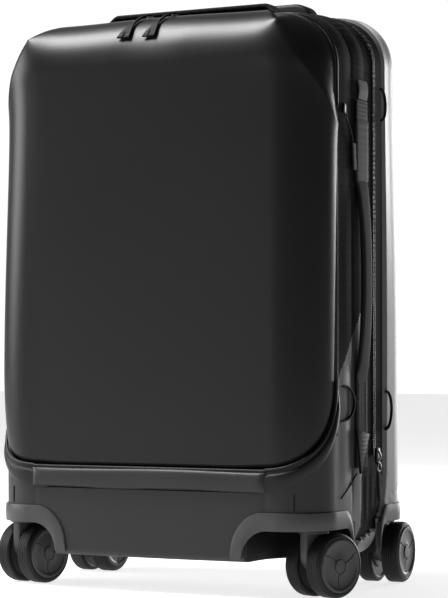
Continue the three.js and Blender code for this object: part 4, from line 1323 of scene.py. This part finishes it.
def pocket_zip_slider(side, x):
    low = top_at(-62.4) + GAP
    outline = rounded_rectangle(6.5, 4.0, 2.4, x, -66.4)
    body = bevel(prism(f"pocket_slider_body_{side}", outline, 2, low + 1.2, low + 4.2, ZIP), 0.5)
    declare(body, "zip", f"pocket_slider_{side}", f"pocket_slider_{side}")
    ring = hoop(f"pocket_pull_ring_{side}", (x, -70.6, low + 4.6), 2.8, 0.6, 2, STEEL)
    declare(ring, "zip", f"pocket_pull_{side}")
    tails = [pull_tail(x, side, spread) for spread in (-1, 1)]
    made = carve(tails[0], tails[1:], "UNION", sharp=50)
    made.name = f"pocket_pull_tab_{side}"
    declare(made, "webbing", f"pocket_pull_{side}", f"pocket_pull_{side}")


PULL = {"start": 543.0, "length": 36.0, "drift": -8.0, "fork": 0.52, "spread": 3.2, "lift": 2.6}


def pull_tail(x, side, spread):
    """One of a pull's two tails, lying on the panel from the slider's ring downwards."""
    share = np.linspace(0, 1, 36)
    down = PULL["start"] - PULL["length"] * share
    apart = spread * PULL["spread"] * ease(share, PULL["fork"], 1.0)
    flat = np.stack([x + PULL["drift"] * share ** 1.3 + apart, down], axis=1)
    lie = pillow(flat, (down - PANEL_MIDDLE) / (CORE_TOP - CORE_ROUND + PANEL_REACH - PANEL_MIDDLE))
    path = wrap(flat, lie + PULL["lift"])
    width = 1.5 + 1.7 * ease(share, PULL["fork"], 1.0)
    return strap(f"tail_{side}", path, (1, 0, 0), width, 2.0, CORD, (0, -0.5, 0.86), power=0.6)


# ---------- Trolley handle ----------

GRIP = {"half": 75.6, "low": 541.0, "top": 557.2, "deep": 11.6, "round_x": 17.0, "round_z": 11.5}
BUTTON = {"half_x": 18.0, "half_y": 6.0, "round": 4.0, "low": 550.0, "top": 559.0}
TUBE_BODIES = {"outer": "rear_half", "middle": "trolley_middle", "inner": "trolley_top"}


def trolley_tube(stage, side, sign, body):
    width, depth, wall, low, high = TUBES[stage]
    x = sign * TUBE_X
    outer = rounded_rectangle(width / 2, depth / 2, 2.5, x, TUBE_Y)
    inner = rounded_rectangle(width / 2 - wall, depth / 2 - wall, 2.5 - wall, x, TUBE_Y)
    made = prism(f"{stage}_tube_{side}", outer, 2, low, high, TUBE)
    made = carve(made, [prism("hollow", inner, 2, low - 1, high + 1, None)])
    declare(made, "tube", body, f"trolley_{stage}_tube_{side}")


def tube_socket(sign, stage, rounding, low, high):
    """A cutter that clears one stage's tube by the gap."""
    width, depth = TUBES[stage][:2]
    hole = rounded_rectangle(width / 2 + GAP, depth / 2 + GAP, rounding, sign * TUBE_X, TUBE_Y)
    return prism("hole", hole, 2, low, high, None)


def trolley_bezel():
    outline = rounded_rectangle(BEZEL["half_x"], BEZEL["half_y"], BEZEL["round"], 0, BEZEL["y"], steps=8)
    made = bevel(prism("bezel", outline, 2, BEZEL["low"], BEZEL["top"], HOUSING), 1.4, 3)
    made = carve(made, [tube_socket(sign, "outer", 2.8, 520, 560) for sign in (-1, 1)])
    declare(made, "housing", "rear_half", "trolley_bezel")


def grip_outline():
    """The grip from the front: a flat foot and two rounded shoulders."""
    half, round_x, round_z = GRIP["half"], GRIP["round_x"], GRIP["round_z"]
    points = [(-half, GRIP["low"]), (half, GRIP["low"])]
    for sign, start in ((1, 0), (-1, 90)):
        x, z = sign * (half - round_x), GRIP["top"] - round_z
        points += arc(x, z, round_x, round_z, start, start + 90, 12).tolist()
    return np.array(points)


def trolley_grip():
    near, far = TUBE_Y - GRIP["deep"], TUBE_Y + GRIP["deep"]
    grip = bevel(prism("grip", grip_outline(), 1, near, far, HOUSING), 3.6, 5)
    well = rounded_rectangle(BUTTON["half_x"] + GAP, BUTTON["half_y"] + GAP, BUTTON["round"], 0, TUBE_Y)
    sockets = [tube_socket(sign, "inner", 2.6, 530, 551.4) for sign in (-1, 1)]
    grip = carve(grip, [prism("well", well, 2, 546, 570, None), *sockets])
    declare(grip, "housing", "trolley_top", "trolley_grip")


def trolley_button():
    outline = rounded_rectangle(BUTTON["half_x"], BUTTON["half_y"], BUTTON["round"], 0, TUBE_Y)
    button = bevel(prism("button", outline, 2, BUTTON["low"], BUTTON["top"], CASTER_PLASTIC_PAINTED_LIGHT), 1.2, 3)
    declare(button, "caster", "trolley_button", "trolley_button")


def trolley():
    for side, sign in (("left", -1), ("right", 1)):
        for stage, body in TUBE_BODIES.items():
            trolley_tube(stage, side, sign, body)
    trolley_bezel()
    trolley_grip()
    trolley_button()


# ---------- Spine and lining ----------

SPINE = {"foot": 70.0, "head": 486.0, "front": 6.0, "back": 42.0, "x": 168.4, "thick": 1.3}


def spine():
    """The fabric that joins the halves down the left side."""
    rows = np.linspace(SPINE["foot"], SPINE["head"], 90)
    across = np.linspace(SPINE["front"], SPINE["back"], 22)
    z, y = np.meshgrid(rows, across, indexing="ij")
    bow = 0.5 * np.sin(z / 37) + 0.9 * bell(y - SPLIT_Y, 7)
    outer = np.stack([-(SPINE["x"] + bow), y, z], axis=2)
    made = shell_between("spine_fabric", outer, outer + (SPINE["thick"], 0, 0), BAND)
    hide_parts("spine_hinge")
    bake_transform(made)


def rear_divider():
    """The lining board that covers the trolley's tubes."""
    z, x = np.meshgrid(np.linspace(98, 513, 80), np.linspace(-156, 156, 60), indexing="ij")
    puff = 0.7 * np.sin(x / 60 + 0.7) * np.sin(z / 80)
    round_off = ease(np.abs(x), 128, 156) * ease(z, 480, 513) * 9
    outer = np.stack([x, 74.9 - puff * 0.4, z - round_off], axis=2)
    board = shell_between("rear_divider", outer, outer + (0, 1.6, 0), LINING)
    declare(board, "lining", "rear_half", "rear_lining_board")


STRAP_CROSS = {"half_x": 130.0, "y": 73.0, "low": 150.0, "rise": 300.0, "half": 10.0, "thick": 1.4}


def packing_straps():
    """Two flat straps that cross over the divider."""
    c = STRAP_CROSS
    for k, sign in enumerate((-1, 1)):
        path = []
        for t in np.linspace(0, 1, 40):
            path.append((sign * c["half_x"] * (2 * t - 1), c["y"] - 0.8 * k, c["low"] + c["rise"] * t))
        across = (0.76, 0, -0.65 * sign)
        made = strap(f"packing_strap_{k}", path, across, c["half"], c["thick"], WEBBING, (0, -1, 0))
        declare(made, "webbing", "rear_half")


def laptop_sleeve():
    """The sleeve against the front pocket's back."""
    z, x = np.meshgrid(np.linspace(123, 399, 60), np.linspace(-139, 139, 50), indexing="ij")
    sag = 0.5 * bell(z - 395, 30) * np.cos(x / 90)
    outer = np.stack([x, -66.6 - sag, z], axis=2)
    sleeve = shell_between("laptop_sleeve", outer, outer + (0, 1.3, 0), LINING)
    declare(sleeve, "lining", "front_half", "pocket_sleeve")


def finish_cad_nodes():
    """Every CAD node that still shows gets its own procedural finish."""
    finishes = {f"{name}_{part}": STEEL for name in HEADINGS for part in ("caster_stem", "caster_axle")}
    finishes["trolley_foot_bracket"] = HOUSING
    for name, material in finishes.items():
        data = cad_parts[name].data
        data.materials.clear()
        data.materials.append(material)


# ---------- The stage ----------

BACKDROP_WAY = (-0.457, 0.889, 0.0)
BACKDROP_SPREAD = {"From Min": 0.8, "From Max": 0.955, "To Min": 0.07, "To Max": 1.05}
FLOOR = {"reach": 12.0, "grey": 0.5, "glow": 0.76}
CAMERA = {
    "at": (0.94975, -1.8152, 0.2069), "tilt": 91.627, "turn": 27.21,
    "lens": 129.8, "sensor": 36.0, "shift_y": 0.006,
}


def studio_world():
    """A dim room with one wide white backdrop behind the case."""
    world = bpy.data.worlds.new("studio")
    world.use_nodes = True
    tree = world.node_tree
    where = tree.nodes.new("ShaderNodeTexCoord")
    facing = tree.nodes.new("ShaderNodeVectorMath")
    facing.operation = "DOT_PRODUCT"
    facing.inputs[1].default_value = BACKDROP_WAY
    spread = tree.nodes.new("ShaderNodeMapRange")
    spread.interpolation_type = "SMOOTHSTEP"
    for name, value in BACKDROP_SPREAD.items():
        spread.inputs[name].default_value = value
    tree.links.new(where.outputs["Generated"], facing.inputs[0])
    tree.links.new(facing.outputs["Value"], spread.inputs["Value"])
    tree.links.new(spread.outputs["Result"], tree.nodes["Background"].inputs["Strength"])
    tree.nodes["Background"].inputs["Color"].default_value = (1.0, 1.0, 1.0, 1.0)
    bpy.context.scene.world = world


def studio_floor():
    """A wide pale floor that gives off a little light of its own."""
    data = bpy.data.meshes.new("floor")
    corners = [(x * FLOOR["reach"], y * FLOOR["reach"], 0) for x, y in ((-1, -1), (1, -1), (1, 1), (-1, 1))]
    data.from_pydata(corners, [], [(0, 1, 2, 3)])
    paint = add_grain(shader("floor_paint", (FLOOR["grey"],) * 3, 0.8), 40.0, 0.02, 0.001, mottle=0.01)
    glow = paint.node_tree.nodes["Principled BSDF"].inputs
    glow["Emission Color"].default_value = (1.0, 1.0, 1.0, 1.0)
    glow["Emission Strength"].default_value = FLOOR["glow"]
    data.materials.append(paint)
    ground = bpy.data.objects.new("floor", data)
    bpy.context.scene.collection.objects.link(ground)


LAMPS = {
    "top_left": {"at": (-0.75, -0.4, 1.75), "aim": (-0.05, -0.1, 0.5), "size": 0.8, "power": 62.0},
    "left": {"at": (-1.75, -0.6, 0.75), "aim": (-0.1, -0.1, 0.3), "size": 1.0, "power": 26.0},
    "low_front": {"at": (-0.9, -1.7, 0.1), "aim": (0.0, -0.1, 0.1), "size": 0.7, "power": 2.6},
    "back": {"at": (0.4, 2.2, 0.45), "aim": (0.15, 0.1, 0.25), "size": 0.9, "power": 24.0},
}


def studio_lamps():
    for name, lamp in LAMPS.items():
        data = bpy.data.lights.new(name, "AREA")
        data.shape = "DISK"
        data.size = lamp["size"]
        data.energy = lamp["power"]
        made = bpy.data.objects.new(name, data)
        made.location = lamp["at"]
        way = Vector(lamp["aim"]) - Vector(lamp["at"])
        made.rotation_euler = way.to_track_quat("-Z", "Y").to_euler()
        bpy.context.scene.collection.objects.link(made)


def camera():
    data = bpy.data.cameras.new("camera")
    data.lens = CAMERA["lens"]
    data.sensor_width = CAMERA["sensor"]
    data.shift_y = CAMERA["shift_y"]
    made = bpy.data.objects.new("camera", data)
    made.location = CAMERA["at"]
    made.rotation_euler = (math.radians(CAMERA["tilt"]), 0.0, math.radians(CAMERA["turn"]))
    bpy.context.scene.collection.objects.link(made)
    bpy.context.scene.camera = made


def stage_and_camera():
    bpy.context.scene.view_settings.view_transform = "Standard"
    studio_world()
    studio_floor()
    studio_lamps()
    camera()


dress_halves()
pocket_panel()
pocket_rim()
grab_strip()
for corner in CORNERS:
    corner_guard(*corner)
    wheel_housing(*corner)
for name in HEADINGS:
    caster_fork(name)
    wheel(name, "a")
    wheel(name, "b")
side_handle()
top_handle()
gear_loops()
side_tab()
side_sleeve()
handle_foot()
base_seams()
side_pocket_slider()
pocket_slit()
zippers()
main_zip_slider()
main_zip_pull()
pocket_zip_slider("left", -18.0)
pocket_zip_slider("right", 8.0)
trolley()
spine()
rear_divider()
packing_straps()
laptop_sleeve()
finish_cad_nodes()
stage_and_camera()
